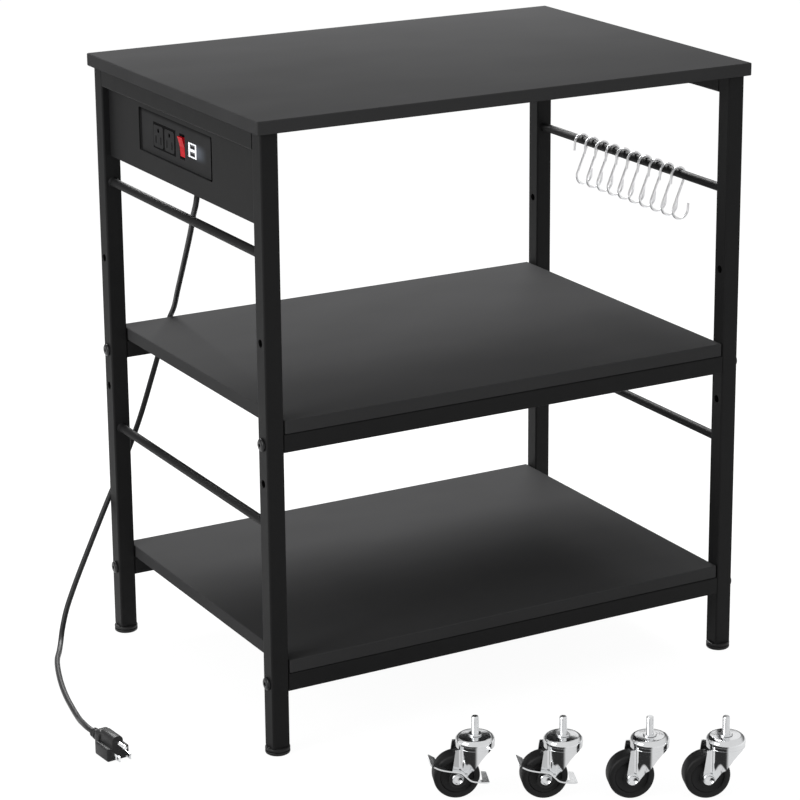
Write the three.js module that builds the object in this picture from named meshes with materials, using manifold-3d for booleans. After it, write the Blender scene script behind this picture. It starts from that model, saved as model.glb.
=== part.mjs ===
// Three-tier microwave cart: a black square-tube frame with three boards, a power unit in the
// left side panel, ten wire hooks on the right rod and four loose swivel casters beside it.
// Millimetres, +Z up, -Y is the front. The origin is the floor point under the middle of the
// cart and its casters together.
import * as THREE from 'three';
import { mergeVertices } from 'three/addons/utils/BufferGeometryUtils.js';
import Module from 'manifold-3d';

const wasm = await Module();
wasm.setup();

// ---- Boards
const topWidth = 600;
const topDepth = 426;
const topThick = 14;
const topHeight = 685.5;
const shelfThick = 14.5;
const middleShelfTop = 369.3;
const bottomShelfTop = 105.2;
const boardArris = 0.8;

// ---- Square tube frame
const tubeSize = 20;
const tubeWall = 1.2;
const tubeCorner = 2;
const overhangSide = 5.8;
const overhangFront = 5.5;
const rodRadius = 4.9;
const upperRodDrop = 30.2;
const lowerRodHeight = 252.2;
const spareHoleRadius = 4.5;
const spareHoleSteps = [108.5, -42.5];

// ---- Gaps between pieces
const seat = 0.3;
const shelfEndGap = 1.5;
const runGap = 0.35;

// ---- Frame bolts and threaded ends
const boltRadius = 3;
const boltHeadRadius = 7;
const boltHeadHeight = 3.4;
const boltCrownRise = 1.9;
const boltCrownRadius = 5;
const hexSocketAcross = 4;
const hexSocketDepth = 2;
const railPlugDepth = 12;
const boltBite = 9;

// ---- Levelling feet and the threaded insert in each leg
const footHeight = 8;
const footRadius = 13.4;
const footGroove = 1.1;
const footGrooveHalf = 0.6;
const footChamfer = 1.4;
const footStemRadius = 4;
const footStemLength = 24;
const insertHeight = 18;

// ---- Outlet panel in the left side
const panelSheet = 1.2;
const panelRecess = 8.2;
const panelHeight = 78.9;
const panelFlange = 9;
const cutoutWidth = 184;
const cutoutTall = 48;
const cutoutMiddle = 15;
const cutoutDrop = 7.9;
const cutoutCorner = 2;

// ---- Power unit, with its fittings placed from the middle of the panel's cut-out
const unitDepth = 36;
const unitRim = 3.4;
const unitFaceRecess = 2;
const unitBodyInset = 3;
const fittingDrop = 2;
const outletSize = 24;
const outletCorner = 3;
const outletMargin = 2;
const outletPitch = 28.2;
const outletsOffset = 33.6;
const outletDepth = 7;
const outletProud = 0.8;
const slotSpacing = 12.7;
const slotWidth = 2.2;
const slotTall = 8.4;
const slotDepth = 5.6;
const slotDrop = 4;
const groundRadius = 2.5;
const groundRise = 6.4;
const switchOffset = -11.4;
const switchWellWidth = 13;
const switchWellTall = 27.6;
const switchWellDepth = 15;
const rockerWidth = 11.4;
const rockerLength = 22;
const rockerPivotDepth = 5.5;
const rockerProud = 8.6;
const rockerLow = 5;
const rockerRidge = 0.7;
const rockerSkirt = 3;
const rockerBackRadius = 9;
const rockerBackArc = 1.9;
const rockerPinRadius = 1.5;
const rockerPinLength = 1.6;
const usbOffset = -36.5;
const usbDrop = 1.5;
const usbWidth = 19.4;
const usbTall = 15.6;
const usbDepth = 8;
const usbSlotWidth = 13;
const usbSlotTall = 5;
const usbSlotDepth = 6;
const usbTongueMargin = 1;
const usbTongueSetback = 1.2;

// ---- Power cord, along the route that it takes from its strain relief to the plug
const cordRadius = 3.15;
const cordSides = 8;
const cordSteps = 58;
const reliefLength = 24;
const reliefTopRadius = 6.2;
const reliefTipRadius = 4.2;
const reliefGroove = 0.8;
const reliefRoot = 2;
const reliefInset = 22.5;
const reliefOffset = -2;
const cordRoute = [
  [-262, 13.6, 562], [-260, 22, 548], [-255, 40, 531.5], [-246.6, 66, 507.5],
  [-232.5, 116, 460.5], [-216.5, 172, 410.5], [-207.5, 205, 379.5], [-208.5, 215.4, 365],
  [-214, 219.6, 345], [-230, 218, 302], [-250, 215, 251], [-272, 212, 205], [-297, 211, 156],
  [-322, 211, 104], [-342, 210, 62], [-354.5, 206.5, 36], [-364, 198, 17], [-372, 185, 6.6],
  [-381, 168, 3.6], [-393, 145, 3.5], [-410, 97, 3.5], [-423, 49, 3.5], [-431.5, 6, 3.5],
  [-436.5, -22, 4.6], [-441.3, -44, 9.4], [-444.2, -64, 12.6],
];

// ---- Mains plug at the cord's end
const plugTip = new THREE.Vector3(-443, -78, 12.6);
const plugHeading = THREE.MathUtils.degToRad(5);
const plugFloorGap = 0.4;
const plugReliefLength = 17;
const plugRibCount = 3;
const plugRibRadius = 6.8;
const plugRibTaper = 0.5;
const plugRibShare = 0.6;
const plugCoreRadius = 4.9;
const plugNeckLength = 9;
const plugNeckWidth = 17;
const plugNeckCorner = 4;
const plugNeckInset = 1.5;
const plugNeckDrop = 4;
const plugOverlap = 2;
const plugBodyLength = 27;
const plugBodyWidth = 26;
const plugBodyTall = 14.5;
const plugCorner = 2;
const plugHumpWidth = 13.4;
const plugHumpTall = 11.8;
const plugHumpCorner = 5;
const plugFillet = 1;
const plugEdge = 1.2;
const pinRoot = 4;
const bladeThick = 1.5;
const bladeWide = 6.3;
const bladeLength = 16.5;
const bladeSpacing = 12.7;
const bladeRise = 0.6;
const bladeCorner = 1;
const bladeHoleRadius = 1.5;
const bladeHoleSetback = 4;
const groundPinRadius = 2.4;
const groundPinLength = 18.5;
const groundPinRise = 11.9;

// ---- Wire hooks on the upper right rod
const hookCount = 10;
const hookRear = 101;
const hookPitch = 22.5;
const hookWireRadius = 1.5;
const hookSides = 6;
const hookSteps = 21;
const hookGap = 0.6;
const hookEyeRadius = 9.3;
const hookEyeOffset = -1.6;
const hookEndLength = 9.5;
const hookShankLength = 36;
const hookShankLean = THREE.MathUtils.degToRad(19.6);
const hookBowlRadius = 10.3;
const hookTipLength = 8;

// ---- Casters, loose beside the cart
const casterPlaces = [[-155, -390], [-78, -436], [-2, -481], [65, -520]];
const brakedCasters = 2;
const casterHeading = THREE.MathUtils.degToRad(-22);
const wheelRadius = 24;
const wheelWidth = 20;
const wheelHubWidth = 23.4;
const wheelHubRadius = 8.6;
const wheelRimWidth = 7;
const wheelDish = 1.8;
const wheelStep = 1;
const treadBevel = 2.4;
const treadShoulder = 2.6;
const wheelSegments = 16;
const trail = 20;
const axleRadius = 3.8;
const axleHeadRadius = 5.7;
const axleHeadThick = 2.6;
const axleHeadBite = 0.1;
const forkGap = 24.4;
const forkSheet = 2;
const crownRadius = 20.4;
const crownRise = 17.5;
const crownSkirt = 11.5;
const crownShoulder = 5.5;
const earRadius = 6.4;
const cheekInset = 6.6;
const cheekBackRise = 1.4;
const cheekBackDrop = 3;
const cheekFrontRise = 0.6;
const cheekFrontDrop = 1.6;
const cheekFrontStep = 2;
const cheekToeAngle = 0.5;
const cheekThroat = 2;
const cheekSweepRise = 11;
const forkWebHeight = 13;
const forkWebBite = 0.5;
const forkWebLean = THREE.MathUtils.degToRad(38);
const forkWebInset = 4.4;
const forkWebDrop = 5.4;
const stemRadius = 4;
const stemLength = 19;
const collarRadius = 7;
const collarThick = 1.3;
const kingpinHeadRadius = 7.5;
const kingpinHeadThick = 2.4;
const pedalSheet = 1.5;
const pedalFront = 6;
const pedalWingDepth = 21;
const pedalHubRadius = 9.4;
const pedalClearance = 1.5;

// ---- Derived places
const legX = topWidth / 2 - overhangSide - tubeSize / 2;
const legY = topDepth / 2 - overhangFront - tubeSize / 2;
const innerX = legX - tubeSize / 2;
const innerY = legY - tubeSize / 2;
const frameTop = topHeight - topThick - seat;
const topRailHeight = frameTop - tubeSize / 2;
const railHeightUnder = (shelfTop) => shelfTop - shelfThick - seat - tubeSize / 2;
const boltHeights = [railHeightUnder(middleShelfTop), railHeightUnder(bottomShelfTop)];
const panelFace = -(legX + tubeSize / 2) + panelRecess;
const panelBack = panelFace + panelSheet;
const panelTop = topRailHeight - tubeSize / 2 - seat;
const panelBottom = panelTop - panelHeight;
const upperRodHeight = panelBottom - upperRodDrop;
const cutoutHeight = panelTop - cutoutDrop - cutoutTall / 2;
const unitFront = panelBack + seat;
const unitFace = unitFront + unitFaceRecess;
const fittingHeight = cutoutHeight - fittingDrop;
const outletsMiddle = cutoutMiddle + outletsOffset;
const switchMiddle = cutoutMiddle + switchOffset;
const usbMiddle = cutoutMiddle + usbOffset;
const usbHeight = cutoutHeight - usbDrop;
const reliefX = unitFront + reliefInset;
const reliefY = cutoutMiddle + reliefOffset;
const reliefTop = cutoutHeight - cutoutTall / 2 + unitBodyInset;
const cordStart = new THREE.Vector3(reliefX, reliefY, reliefTop - reliefLength - seat);
const axleHeight = wheelRadius;
const crownTop = 2 * wheelRadius + crownRise;

// ---- Finishes
const finish = (color, roughness, metalness) => () =>
  new THREE.MeshStandardMaterial({ color, roughness, metalness });
const boardBlack = finish(0x202021, 0.55, 0);
const framePaint = finish(0x161617, 0.5, 0.2);
const blackPlastic = finish(0x0d0d0e, 0.45, 0);
const softBlack = finish(0x111112, 0.7, 0);
const switchRed = finish(0xb01218, 0.35, 0);
const socketWhite = finish(0xdadada, 0.4, 0);
const chrome = finish(0xd8dadc, 0.12, 1);
const tyreBlack = finish(0x121213, 0.6, 0);

const part = new THREE.Group();
const X = new THREE.Vector3(1, 0, 0);
const Y = new THREE.Vector3(0, 1, 0);
const Z = new THREE.Vector3(0, 0, 1);

// ---- Solids, joins and cuts
const move = (x, y, z) => new THREE.Matrix4().makeTranslation(x, y, z);
const turn = (axis, angle) => new THREE.Matrix4().makeRotationAxis(axis, angle);
const quarter = Math.PI / 2;

function toSolid(geometry, ...matrices) {
  const copy = geometry.clone();
  for (const matrix of matrices) copy.applyMatrix4(matrix);
  copy.deleteAttribute('normal');
  copy.deleteAttribute('uv');
  const welded = mergeVertices(copy, 1e-4);
  return new wasm.Manifold(new wasm.Mesh({
    numProp: 3,
    vertProperties: new Float32Array(welded.attributes.position.array),
    triVerts: new Uint32Array(welded.index.array),
  }));
}

function toGeometry(solid) {
  const mesh = solid.getMesh();
  const indexed = new THREE.BufferGeometry();
  indexed.setAttribute('position', new THREE.BufferAttribute(mesh.vertProperties, 3));
  indexed.setIndex(new THREE.BufferAttribute(mesh.triVerts, 1));
  const faceted = indexed.toNonIndexed();
  faceted.computeVertexNormals();
  return faceted;
}

const join = (solids) => solids.reduce((whole, solid) => whole.add(solid));
const cut = (solid, tools) => tools.reduce((rest, tool) => rest.subtract(tool), solid);

function addPiece(name, geometry, material, parent = part) {
  const mesh = new THREE.Mesh(geometry, material());
  mesh.name = name;
  parent.add(mesh);
  return mesh;
}

function roundedOutline(width, height, radius, path = new THREE.Shape()) {
  const [w, h] = [width / 2, height / 2];
  path.moveTo(w, -h + radius);
  path.lineTo(w, h - radius);
  path.absarc(w - radius, h - radius, radius, 0, quarter);
  path.lineTo(-w + radius, h);
  path.absarc(-w + radius, h - radius, radius, quarter, 2 * quarter);
  path.lineTo(-w, -h + radius);
  path.absarc(-w + radius, -h + radius, radius, 2 * quarter, 3 * quarter);
  path.lineTo(w - radius, -h);
  path.absarc(w - radius, -h + radius, radius, 3 * quarter, 4 * quarter);
  return path;
}

const extrude = (shape, depth, curveSegments = 3) =>
  new THREE.ExtrudeGeometry(shape, { depth, bevelEnabled: false, curveSegments });

function bevelled(shape, depth, bevel, curveSegments = 3) {
  const settings = {
    depth: depth - 2 * bevel, bevelEnabled: true, bevelThickness: bevel,
    bevelSize: bevel, bevelOffset: -bevel, bevelSegments: 1, curveSegments,
  };
  return new THREE.ExtrudeGeometry(shape, settings).translate(0, 0, bevel);
}

const block = (sx, sy, sz, x, y, z) => toSolid(new THREE.BoxGeometry(sx, sy, sz), move(x, y, z));

const cylinderX = (radius, length, x, y, z, sides = 16) =>
  toSolid(new THREE.CylinderGeometry(radius, radius, length, sides), turn(Z, quarter),
    move(x, y, z));

const cylinderY = (radius, length, x, y, z, sides = 16) =>
  toSolid(new THREE.CylinderGeometry(radius, radius, length, sides), move(x, y, z));

const lathe = (profile, segments) =>
  new THREE.LatheGeometry(profile.map(([r, h]) => new THREE.Vector2(r, h)), segments)
    .rotateX(quarter);

// A square tube of the frame, along Z from 0 to its length, open at both ends.
function squareTube(length) {
  const outline = roundedOutline(tubeSize, tubeSize, tubeCorner);
  const bore = tubeSize - 2 * tubeWall;
  outline.holes.push(roundedOutline(bore, bore, tubeCorner - tubeWall, new THREE.Path()));
  return extrude(outline, length, 2);
}

// ---- Boards
function makeBoard(name, width, depth, thick, topZ) {
  const board = bevelled(roundedOutline(width, depth, 2 * boardArris), thick, boardArris, 2);
  addPiece(name, board.translate(0, 0, topZ - thick), boardBlack);
}

function makeBoards() {
  const shelfWidth = 2 * (innerX - shelfEndGap);
  const shelfDepth = 2 * (legY + tubeSize / 2);
  makeBoard('top_board', topWidth, topDepth, topThick, topHeight);
  makeBoard('middle_shelf', shelfWidth, shelfDepth, shelfThick, middleShelfTop);
  makeBoard('bottom_shelf', shelfWidth, shelfDepth, shelfThick, bottomShelfTop);
}

// ---- Legs, with spare shelf holes, bolt holes and the threaded insert for foot or caster
function makeLegs() {
  const foot = footHeight + seat;
  const bore = tubeSize - 2 * tubeWall;
  const insert = block(bore + tubeWall, bore + tubeWall, insertHeight, 0, 0,
    foot + insertHeight / 2);
  const stemBore = toSolid(
    new THREE.CylinderGeometry(footStemRadius + runGap, footStemRadius + runGap,
      3 * insertHeight, 16), turn(X, quarter), move(0, 0, foot));
  const drill = (radius, z) => cylinderX(radius, 2 * tubeSize, 0, 0, z, 8);
  const holes = [
    ...spareHoleSteps.map((step) => drill(spareHoleRadius, boltHeights[0] + step)),
    ...boltHeights.map((z) => drill(boltRadius + runGap, z)),
  ];
  const tube = toSolid(squareTube(frameTop - foot), move(0, 0, foot));
  const leg = toGeometry(cut(tube.add(insert), [stemBore, ...holes]));
  for (const [row, sy] of [['front', -1], ['rear', 1]]) {
    for (const [side, sx] of [['left', -1], ['right', 1]]) {
      addPiece(`leg_${row}_${side}`, leg.clone(), framePaint)
        .position.set(sx * legX, sy * legY, 0);
    }
  }
}

// ---- Rails under the two shelves, with threaded plugs in their ends
function makeShelfRails() {
  const length = 2 * (innerX - seat);
  const bore = tubeSize - 2 * tubeWall;
  const tube = toSolid(squareTube(length), turn(Y, quarter), move(-length / 2, 0, 0));
  const plugAt = (s) => block(railPlugDepth, bore + tubeWall, bore + tubeWall,
    s * (length - railPlugDepth) / 2, 0, 0);
  const thread = cylinderX(boltRadius + runGap, 2 * length, 0, 0, 0, 8);
  const rail = toGeometry(join([tube, plugAt(-1), plugAt(1)]).subtract(thread));
  for (const [shelf, z] of [['middle', boltHeights[0]], ['bottom', boltHeights[1]]]) {
    for (const [row, sy] of [['front', -1], ['rear', 1]]) {
      addPiece(`${shelf}_rail_${row}`, rail.clone(), framePaint).position.set(0, sy * legY, z);
    }
  }
}

// ---- Side rails under the top board and round rods between the legs of each side
function makeSideBars() {
  const length = 2 * (innerY - seat);
  const rail = squareTube(length).rotateX(-quarter).translate(0, -length / 2, 0);
  const rod = new THREE.CylinderGeometry(rodRadius, rodRadius, length, 16);
  for (const [side, sx] of [['left', -1], ['right', 1]]) {
    addPiece(`top_rail_${side}`, rail.clone(), framePaint)
      .position.set(sx * legX, 0, topRailHeight);
    addPiece(`upper_rod_${side}`, rod.clone(), framePaint)
      .position.set(sx * legX, 0, upperRodHeight);
    addPiece(`lower_rod_${side}`, rod.clone(), framePaint)
      .position.set(sx * legX, 0, lowerRodHeight);
  }
}

// ---- Button-head bolts through the legs into the rails
function makeBolts() {
  const outer = legX + tubeSize / 2 + seat;
  const shank = tubeSize + 2 * seat + boltBite;
  const profile = [
    [0, -shank], [boltRadius, -shank], [boltRadius, 0], [boltHeadRadius, 0],
    [boltHeadRadius, boltHeadHeight - boltCrownRise], [boltCrownRadius, boltHeadHeight],
    [0, boltHeadHeight],
  ];
  const socket = toSolid(
    new THREE.CylinderGeometry(hexSocketAcross / 2, hexSocketAcross / 2, 2 * hexSocketDepth, 6),
    turn(X, quarter), move(0, 0, boltHeadHeight));
  const bolt = toGeometry(toSolid(lathe(profile, 12)).subtract(socket));
  for (const [shelf, z] of [['middle', boltHeights[0]], ['bottom', boltHeights[1]]]) {
    for (const [row, sy] of [['front', -1], ['rear', 1]]) {
      for (const [side, sx] of [['left', -1], ['right', 1]]) {
        const piece = addPiece(`bolt_${shelf}_${row}_${side}`, bolt.clone(), softBlack);
        piece.rotation.y = sx * quarter;
        piece.position.set(sx * outer, sy * legY, z);
      }
    }
  }
}

// ---- Levelling feet: a two-tier pad with a groove, on a threaded stem
function makeFeet() {
  const half = footHeight / 2;
  const neck = footRadius - footGroove;
  const profile = [
    [0, 0], [footRadius - footChamfer, 0], [footRadius, footChamfer],
    [footRadius, half - footGrooveHalf], [neck, half], [footRadius, half + footGrooveHalf],
    [footRadius, footHeight - footChamfer], [footRadius - footChamfer, footHeight],
    [footStemRadius, footHeight], [footStemRadius, footHeight + footStemLength],
    [0, footHeight + footStemLength],
  ];
  for (const [row, sy] of [['front', -1], ['rear', 1]]) {
    for (const [side, sx] of [['left', -1], ['right', 1]]) {
      addPiece(`foot_${row}_${side}`, lathe(profile, 14), softBlack)
        .position.set(sx * legX, sy * legY, 0);
    }
  }
}

// ---- Outlet panel: a pressed sheet with return flanges and the opening for the power unit
function makeOutletPanel() {
  const width = 2 * (innerY - seat);
  const midZ = (panelTop + panelBottom) / 2;
  const depth = panelSheet + panelFlange;
  const tray = block(depth, width, panelHeight, panelFace + depth / 2, 0, midZ);
  const hollow = block(depth, width - 2 * panelSheet, panelHeight - 2 * panelSheet,
    panelBack + depth / 2, 0, midZ);
  const opening = roundedOutline(cutoutWidth, cutoutTall, cutoutCorner);
  const punch = toSolid(extrude(opening, 4 * panelSheet), turn(Z, quarter), turn(Y, quarter),
    move(panelFace - panelSheet, cutoutMiddle, cutoutHeight));
  addPiece('outlet_panel', toGeometry(cut(tray, [hollow, punch])), framePaint);
}

// ---- Power unit: rimmed housing with pockets, and the strain relief under it
function makePowerUnit() {
  const place = (shape, depth, x) => toSolid(extrude(shape, depth), turn(Z, quarter),
    turn(Y, quarter), move(x, cutoutMiddle, cutoutHeight));
  const around = (margin, radius) =>
    roundedOutline(cutoutWidth + 2 * margin, cutoutTall + 2 * margin, radius);
  const rim = place(around(unitRim, unitRim), 2 * unitFaceRecess, unitFront);
  const body = place(around(-unitBodyInset, unitRim), unitDepth, unitFront);
  const recess = place(around(0, cutoutCorner), 2 * unitFaceRecess, unitFront - unitFaceRecess);
  const pocket = (w, h, depth, y, z) => block(2 * depth, w, h, unitFace, y, z);
  const pockets = [
    pocket(2 * outletPitch + 2 * seat, outletSize + 2 * outletMargin + 2 * seat,
      outletDepth + seat, outletsMiddle, fittingHeight),
    pocket(switchWellWidth, switchWellTall, switchWellDepth, switchMiddle, fittingHeight),
    pocket(usbWidth + 2 * seat, usbTall + 2 * seat, usbDepth + seat, usbMiddle, usbHeight),
    cylinderY(rockerPinRadius + runGap, switchWellWidth + 2 * rockerPinLength,
      unitFace + rockerPivotDepth, switchMiddle, fittingHeight, 10),
  ];
  const steps = 6;
  const rib = reliefLength / steps;
  const taper = (k) => reliefTipRadius + (reliefTopRadius - reliefTipRadius) * k / steps;
  const profile = [[0, -reliefLength]];
  for (let k = 0; k < steps; k += 1) {
    const notch = k % 2 ? reliefGroove : 0;
    profile.push([taper(k) - notch, k * rib - reliefLength]);
    profile.push([taper(k) - notch, (k + 1) * rib - reliefLength]);
  }
  profile.push([reliefTopRadius, reliefRoot], [0, reliefRoot]);
  const relief = toSolid(lathe(profile, 10), move(reliefX, reliefY, reliefTop));
  addPiece('power_unit', toGeometry(cut(rim.add(body), [recess, ...pockets]).add(relief)),
    blackPlastic);
}

// ---- Two grounded outlets moulded in one insert
function makeOutlets() {
  const depth = outletDepth + outletProud;
  const x = unitFace - outletProud;
  const base = block(outletDepth, 2 * outletPitch, outletSize + 2 * outletMargin,
    unitFace + outletDepth / 2, outletsMiddle, fittingHeight);
  const faces = [];
  const slots = [];
  for (const side of [-1, 1]) {
    const y = outletsMiddle + side * outletPitch / 2;
    const face = extrude(roundedOutline(outletSize, outletSize, outletCorner), depth);
    faces.push(toSolid(face, turn(Z, quarter), turn(Y, quarter), move(x, y, fittingHeight)));
    for (const hand of [-1, 1]) {
      slots.push(block(2 * slotDepth, slotWidth, slotTall, x, y + hand * slotSpacing / 2,
        fittingHeight - slotDrop));
    }
    slots.push(cylinderX(groundRadius, 2 * slotDepth, x, y, fittingHeight + groundRise, 12));
  }
  addPiece('outlet_insert', toGeometry(cut(join([base, ...faces]), slots)), blackPlastic);
}

// ---- Rocker switch: two facets on a rounded back, turning on pins in the housing
function makeRocker() {
  const half = rockerLength / 2;
  const outline = new THREE.Shape();
  outline.moveTo(-rockerProud, half);
  outline.lineTo(-rockerLow - rockerRidge, 0);
  outline.lineTo(-rockerLow, -half);
  outline.lineTo(-rockerLow + rockerSkirt, -half);
  outline.absarc(0, 0, rockerBackRadius, -rockerBackArc, rockerBackArc);
  outline.lineTo(-rockerProud + rockerSkirt, half);
  const cap = toSolid(extrude(outline, rockerWidth, 6), turn(X, quarter),
    move(0, rockerWidth / 2, 0));
  const pin = cylinderY(rockerPinRadius, rockerWidth + 2 * rockerPinLength, 0, 0, 0, 10);
  addPiece('rocker_switch', toGeometry(cap.add(pin)), switchRed)
    .position.set(unitFace + rockerPivotDepth, switchMiddle, fittingHeight);
}

// ---- Double USB socket with a tongue in each opening
function makeUsbSocket() {
  const body = block(usbDepth, usbWidth, usbTall, unitFace + usbDepth / 2, usbMiddle, usbHeight);
  const openings = [];
  const tongues = [];
  for (const side of [-1, 1]) {
    const z = usbHeight + side * usbTall / 4;
    openings.push(block(2 * usbSlotDepth, usbSlotWidth, usbSlotTall, unitFace, usbMiddle, z));
    tongues.push(block(usbSlotDepth, usbSlotWidth - 2 * usbTongueMargin, usbSlotTall / 3,
      unitFace + usbSlotDepth / 2 + usbTongueSetback, usbMiddle, z + usbSlotTall / 6));
  }
  addPiece('usb_socket', toGeometry(join([cut(body, openings), ...tongues])), socketWhite);
}

// ---- Power cord, a tube along the route that it hangs and lies in
function sectionOf(radius, sides) {
  const ring = [];
  for (let k = 0; k < sides; k += 1) {
    const angle = 2 * Math.PI * k / sides;
    ring.push(new THREE.Vector2(radius * Math.cos(angle), radius * Math.sin(angle)));
  }
  return new THREE.Shape(ring);
}

const plugMatrix = move(plugTip.x, plugTip.y, plugTip.z)
  .multiply(turn(Z, plugHeading)).multiply(turn(X, quarter));

function makeCord() {
  const end = new THREE.Vector3(0, 0, -seat).applyMatrix4(plugMatrix);
  const inner = cordRoute.map((point) => new THREE.Vector3(...point));
  const route = new THREE.CatmullRomCurve3([cordStart, ...inner, end], false, 'centripetal');
  const tube = new THREE.ExtrudeGeometry(sectionOf(cordRadius, cordSides),
    { steps: cordSteps, extrudePath: route });
  addPiece('power_cord', toGeometry(toSolid(tube)), softBlack);
}

// ---- Grounded plug: ribbed strain relief, neck, humped body, two blades and a ground pin.
// Its local Z runs from the cord to the pins, local Y is up and local X is across.
function makePlug() {
  const floor = -plugTip.z + plugFloorGap;
  const bodyStart = plugReliefLength + plugNeckLength;
  const bodyEnd = bodyStart + plugBodyLength;
  const bladeY = floor + plugBodyTall / 2 + bladeRise;
  const ribPitch = plugReliefLength / plugRibCount;
  const profile = [[0, 0]];
  for (let k = 0; k < plugRibCount; k += 1) {
    const rib = plugRibRadius - plugRibTaper * (plugRibCount - k);
    const ribEnd = (k + plugRibShare) * ribPitch;
    profile.push([rib, k * ribPitch], [rib, ribEnd], [plugCoreRadius, ribEnd]);
    profile.push([plugCoreRadius, (k + 1) * ribPitch]);
  }
  profile.push([plugCoreRadius, plugReliefLength + plugOverlap],
    [0, plugReliefLength + plugOverlap]);
  const relief = toSolid(lathe(profile, 10));
  const neckTall = plugBodyTall + plugHumpTall - plugNeckDrop;
  const neck = toSolid(bevelled(roundedOutline(plugNeckWidth, neckTall, plugNeckCorner),
    plugNeckLength + plugOverlap, plugEdge),
  move(0, floor + plugNeckInset + neckTall / 2, plugReliefLength));
  const [w, h] = [plugBodyWidth / 2, plugHumpWidth / 2];
  const [c, r] = [plugCorner, plugHumpCorner];
  const top = floor + plugBodyTall;
  const outline = new THREE.Shape();
  outline.moveTo(-w + c, floor);
  outline.lineTo(w - c, floor);
  outline.absarc(w - c, floor + c, c, -quarter, 0);
  outline.lineTo(w, top - c);
  outline.absarc(w - c, top - c, c, 0, quarter);
  outline.lineTo(h + plugFillet, top + plugFillet);
  outline.lineTo(h, top + 2 * plugFillet);
  outline.lineTo(h, top + plugHumpTall - r);
  outline.absarc(h - r, top + plugHumpTall - r, r, 0, quarter);
  outline.lineTo(-h + r, top + plugHumpTall);
  outline.absarc(-h + r, top + plugHumpTall - r, r, quarter, 2 * quarter);
  outline.lineTo(-h, top + 2 * plugFillet);
  outline.lineTo(-h - plugFillet, top + plugFillet);
  outline.lineTo(-w + c, top);
  outline.absarc(-w + c, top - c, c, quarter, 2 * quarter);
  outline.lineTo(-w, floor + c);
  outline.absarc(-w + c, floor + c, c, 2 * quarter, 3 * quarter);
  const body = toSolid(bevelled(outline, plugBodyLength, plugEdge), move(0, 0, bodyStart));
  const pins = [];
  const punches = [];
  for (const side of [-1, 1]) {
    const x = side * bladeSpacing / 2;
    const blade = extrude(roundedOutline(2 * bladeLength, bladeWide, bladeCorner), bladeThick, 2);
    pins.push(toSolid(blade, turn(Y, quarter), move(x - bladeThick / 2, bladeY, bodyEnd)));
    punches.push(cylinderX(bladeHoleRadius, 3 * bladeThick, x, bladeY,
      bodyEnd + bladeLength - bladeHoleSetback, 8));
  }
  const pinShaft = new THREE.CapsuleGeometry(groundPinRadius,
    groundPinLength + pinRoot - 2 * groundPinRadius, 2, 8);
  pins.push(toSolid(pinShaft, turn(X, quarter),
    move(0, bladeY + groundPinRise, bodyEnd + (groundPinLength - pinRoot) / 2)));
  const plug = toGeometry(cut(join([relief, neck, body, ...pins]), punches));
  addPiece('plug', plug.applyMatrix4(plugMatrix), blackPlastic);
}

// ---- Wire hooks: an eye round the rod, a leaning shank and an open bowl, in the XZ plane
class Arc3 extends THREE.Curve {
  constructor(cx, cz, radius, from, to) {
    super();
    Object.assign(this, { cx, cz, radius, from, to });
  }

  getPoint(t, target = new THREE.Vector3()) {
    const angle = this.from + (this.to - this.from) * t;
    return target.set(this.cx + this.radius * Math.cos(angle), 0,
      this.cz + this.radius * Math.sin(angle));
  }
}

function hookPath() {
  const eyeZ = rodRadius + hookGap + hookWireRadius - hookEyeRadius;
  const lean = hookShankLean;
  const eye = new Arc3(hookEyeOffset, eyeZ, hookEyeRadius, Math.PI, -lean);
  const shankTop = eye.getPoint(1);
  const down = new THREE.Vector3(-Math.sin(lean), 0, -Math.cos(lean));
  const shankEnd = shankTop.clone().addScaledVector(down, hookShankLength);
  const bowlX = shankEnd.x + hookBowlRadius * Math.cos(lean);
  const bowlZ = shankEnd.z - hookBowlRadius * Math.sin(lean);
  const bowl = new Arc3(bowlX, bowlZ, hookBowlRadius, Math.PI - lean, 2 * Math.PI);
  const eyeStart = eye.getPoint(0);
  const bowlEnd = bowl.getPoint(1);
  const path = new THREE.CurvePath();
  path.add(new THREE.LineCurve3(eyeStart.clone().add(new THREE.Vector3(0, 0, -hookEndLength)),
    eyeStart));
  path.add(eye);
  path.add(new THREE.LineCurve3(shankTop, shankEnd));
  path.add(bowl);
  path.add(new THREE.LineCurve3(bowlEnd,
    bowlEnd.clone().add(new THREE.Vector3(0, 0, hookTipLength))));
  return path;
}

// A hook hangs with its centre of mass straight under the rod.
function makeHooks() {
  const path = hookPath();
  const balanceSteps = 120;
  const wire = new THREE.ExtrudeGeometry(sectionOf(hookWireRadius, hookSides),
    { steps: hookSteps, extrudePath: path });
  const balance = new THREE.Vector3();
  for (const point of path.getSpacedPoints(balanceSteps)) balance.add(point);
  const hangTilt = Math.atan2(balance.x, -balance.z);
  const hook = toGeometry(toSolid(wire, turn(Y, hangTilt)));
  for (let k = 0; k < hookCount; k += 1) {
    addPiece(`hook_${k + 1}`, hook.clone(), chrome)
      .position.set(legX, hookRear - k * hookPitch, upperRodHeight);
  }
}

// ---- Casters. Each is a group whose Z axis is the stem; the wheel trails towards local -X.
function casterStem() {
  const pinBottom = crownTop - forkSheet - seat;
  const collar = crownTop + seat;
  const top = collar + collarThick + stemLength;
  const profile = [
    [0, pinBottom - kingpinHeadThick], [kingpinHeadRadius, pinBottom - kingpinHeadThick],
    [kingpinHeadRadius, pinBottom], [stemRadius, pinBottom], [stemRadius, collar],
    [collarRadius, collar], [collarRadius, collar + collarThick],
    [stemRadius, collar + collarThick], [stemRadius, top - 1], [stemRadius - 1, top], [0, top],
  ];
  return lathe(profile, 10);
}

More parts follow.
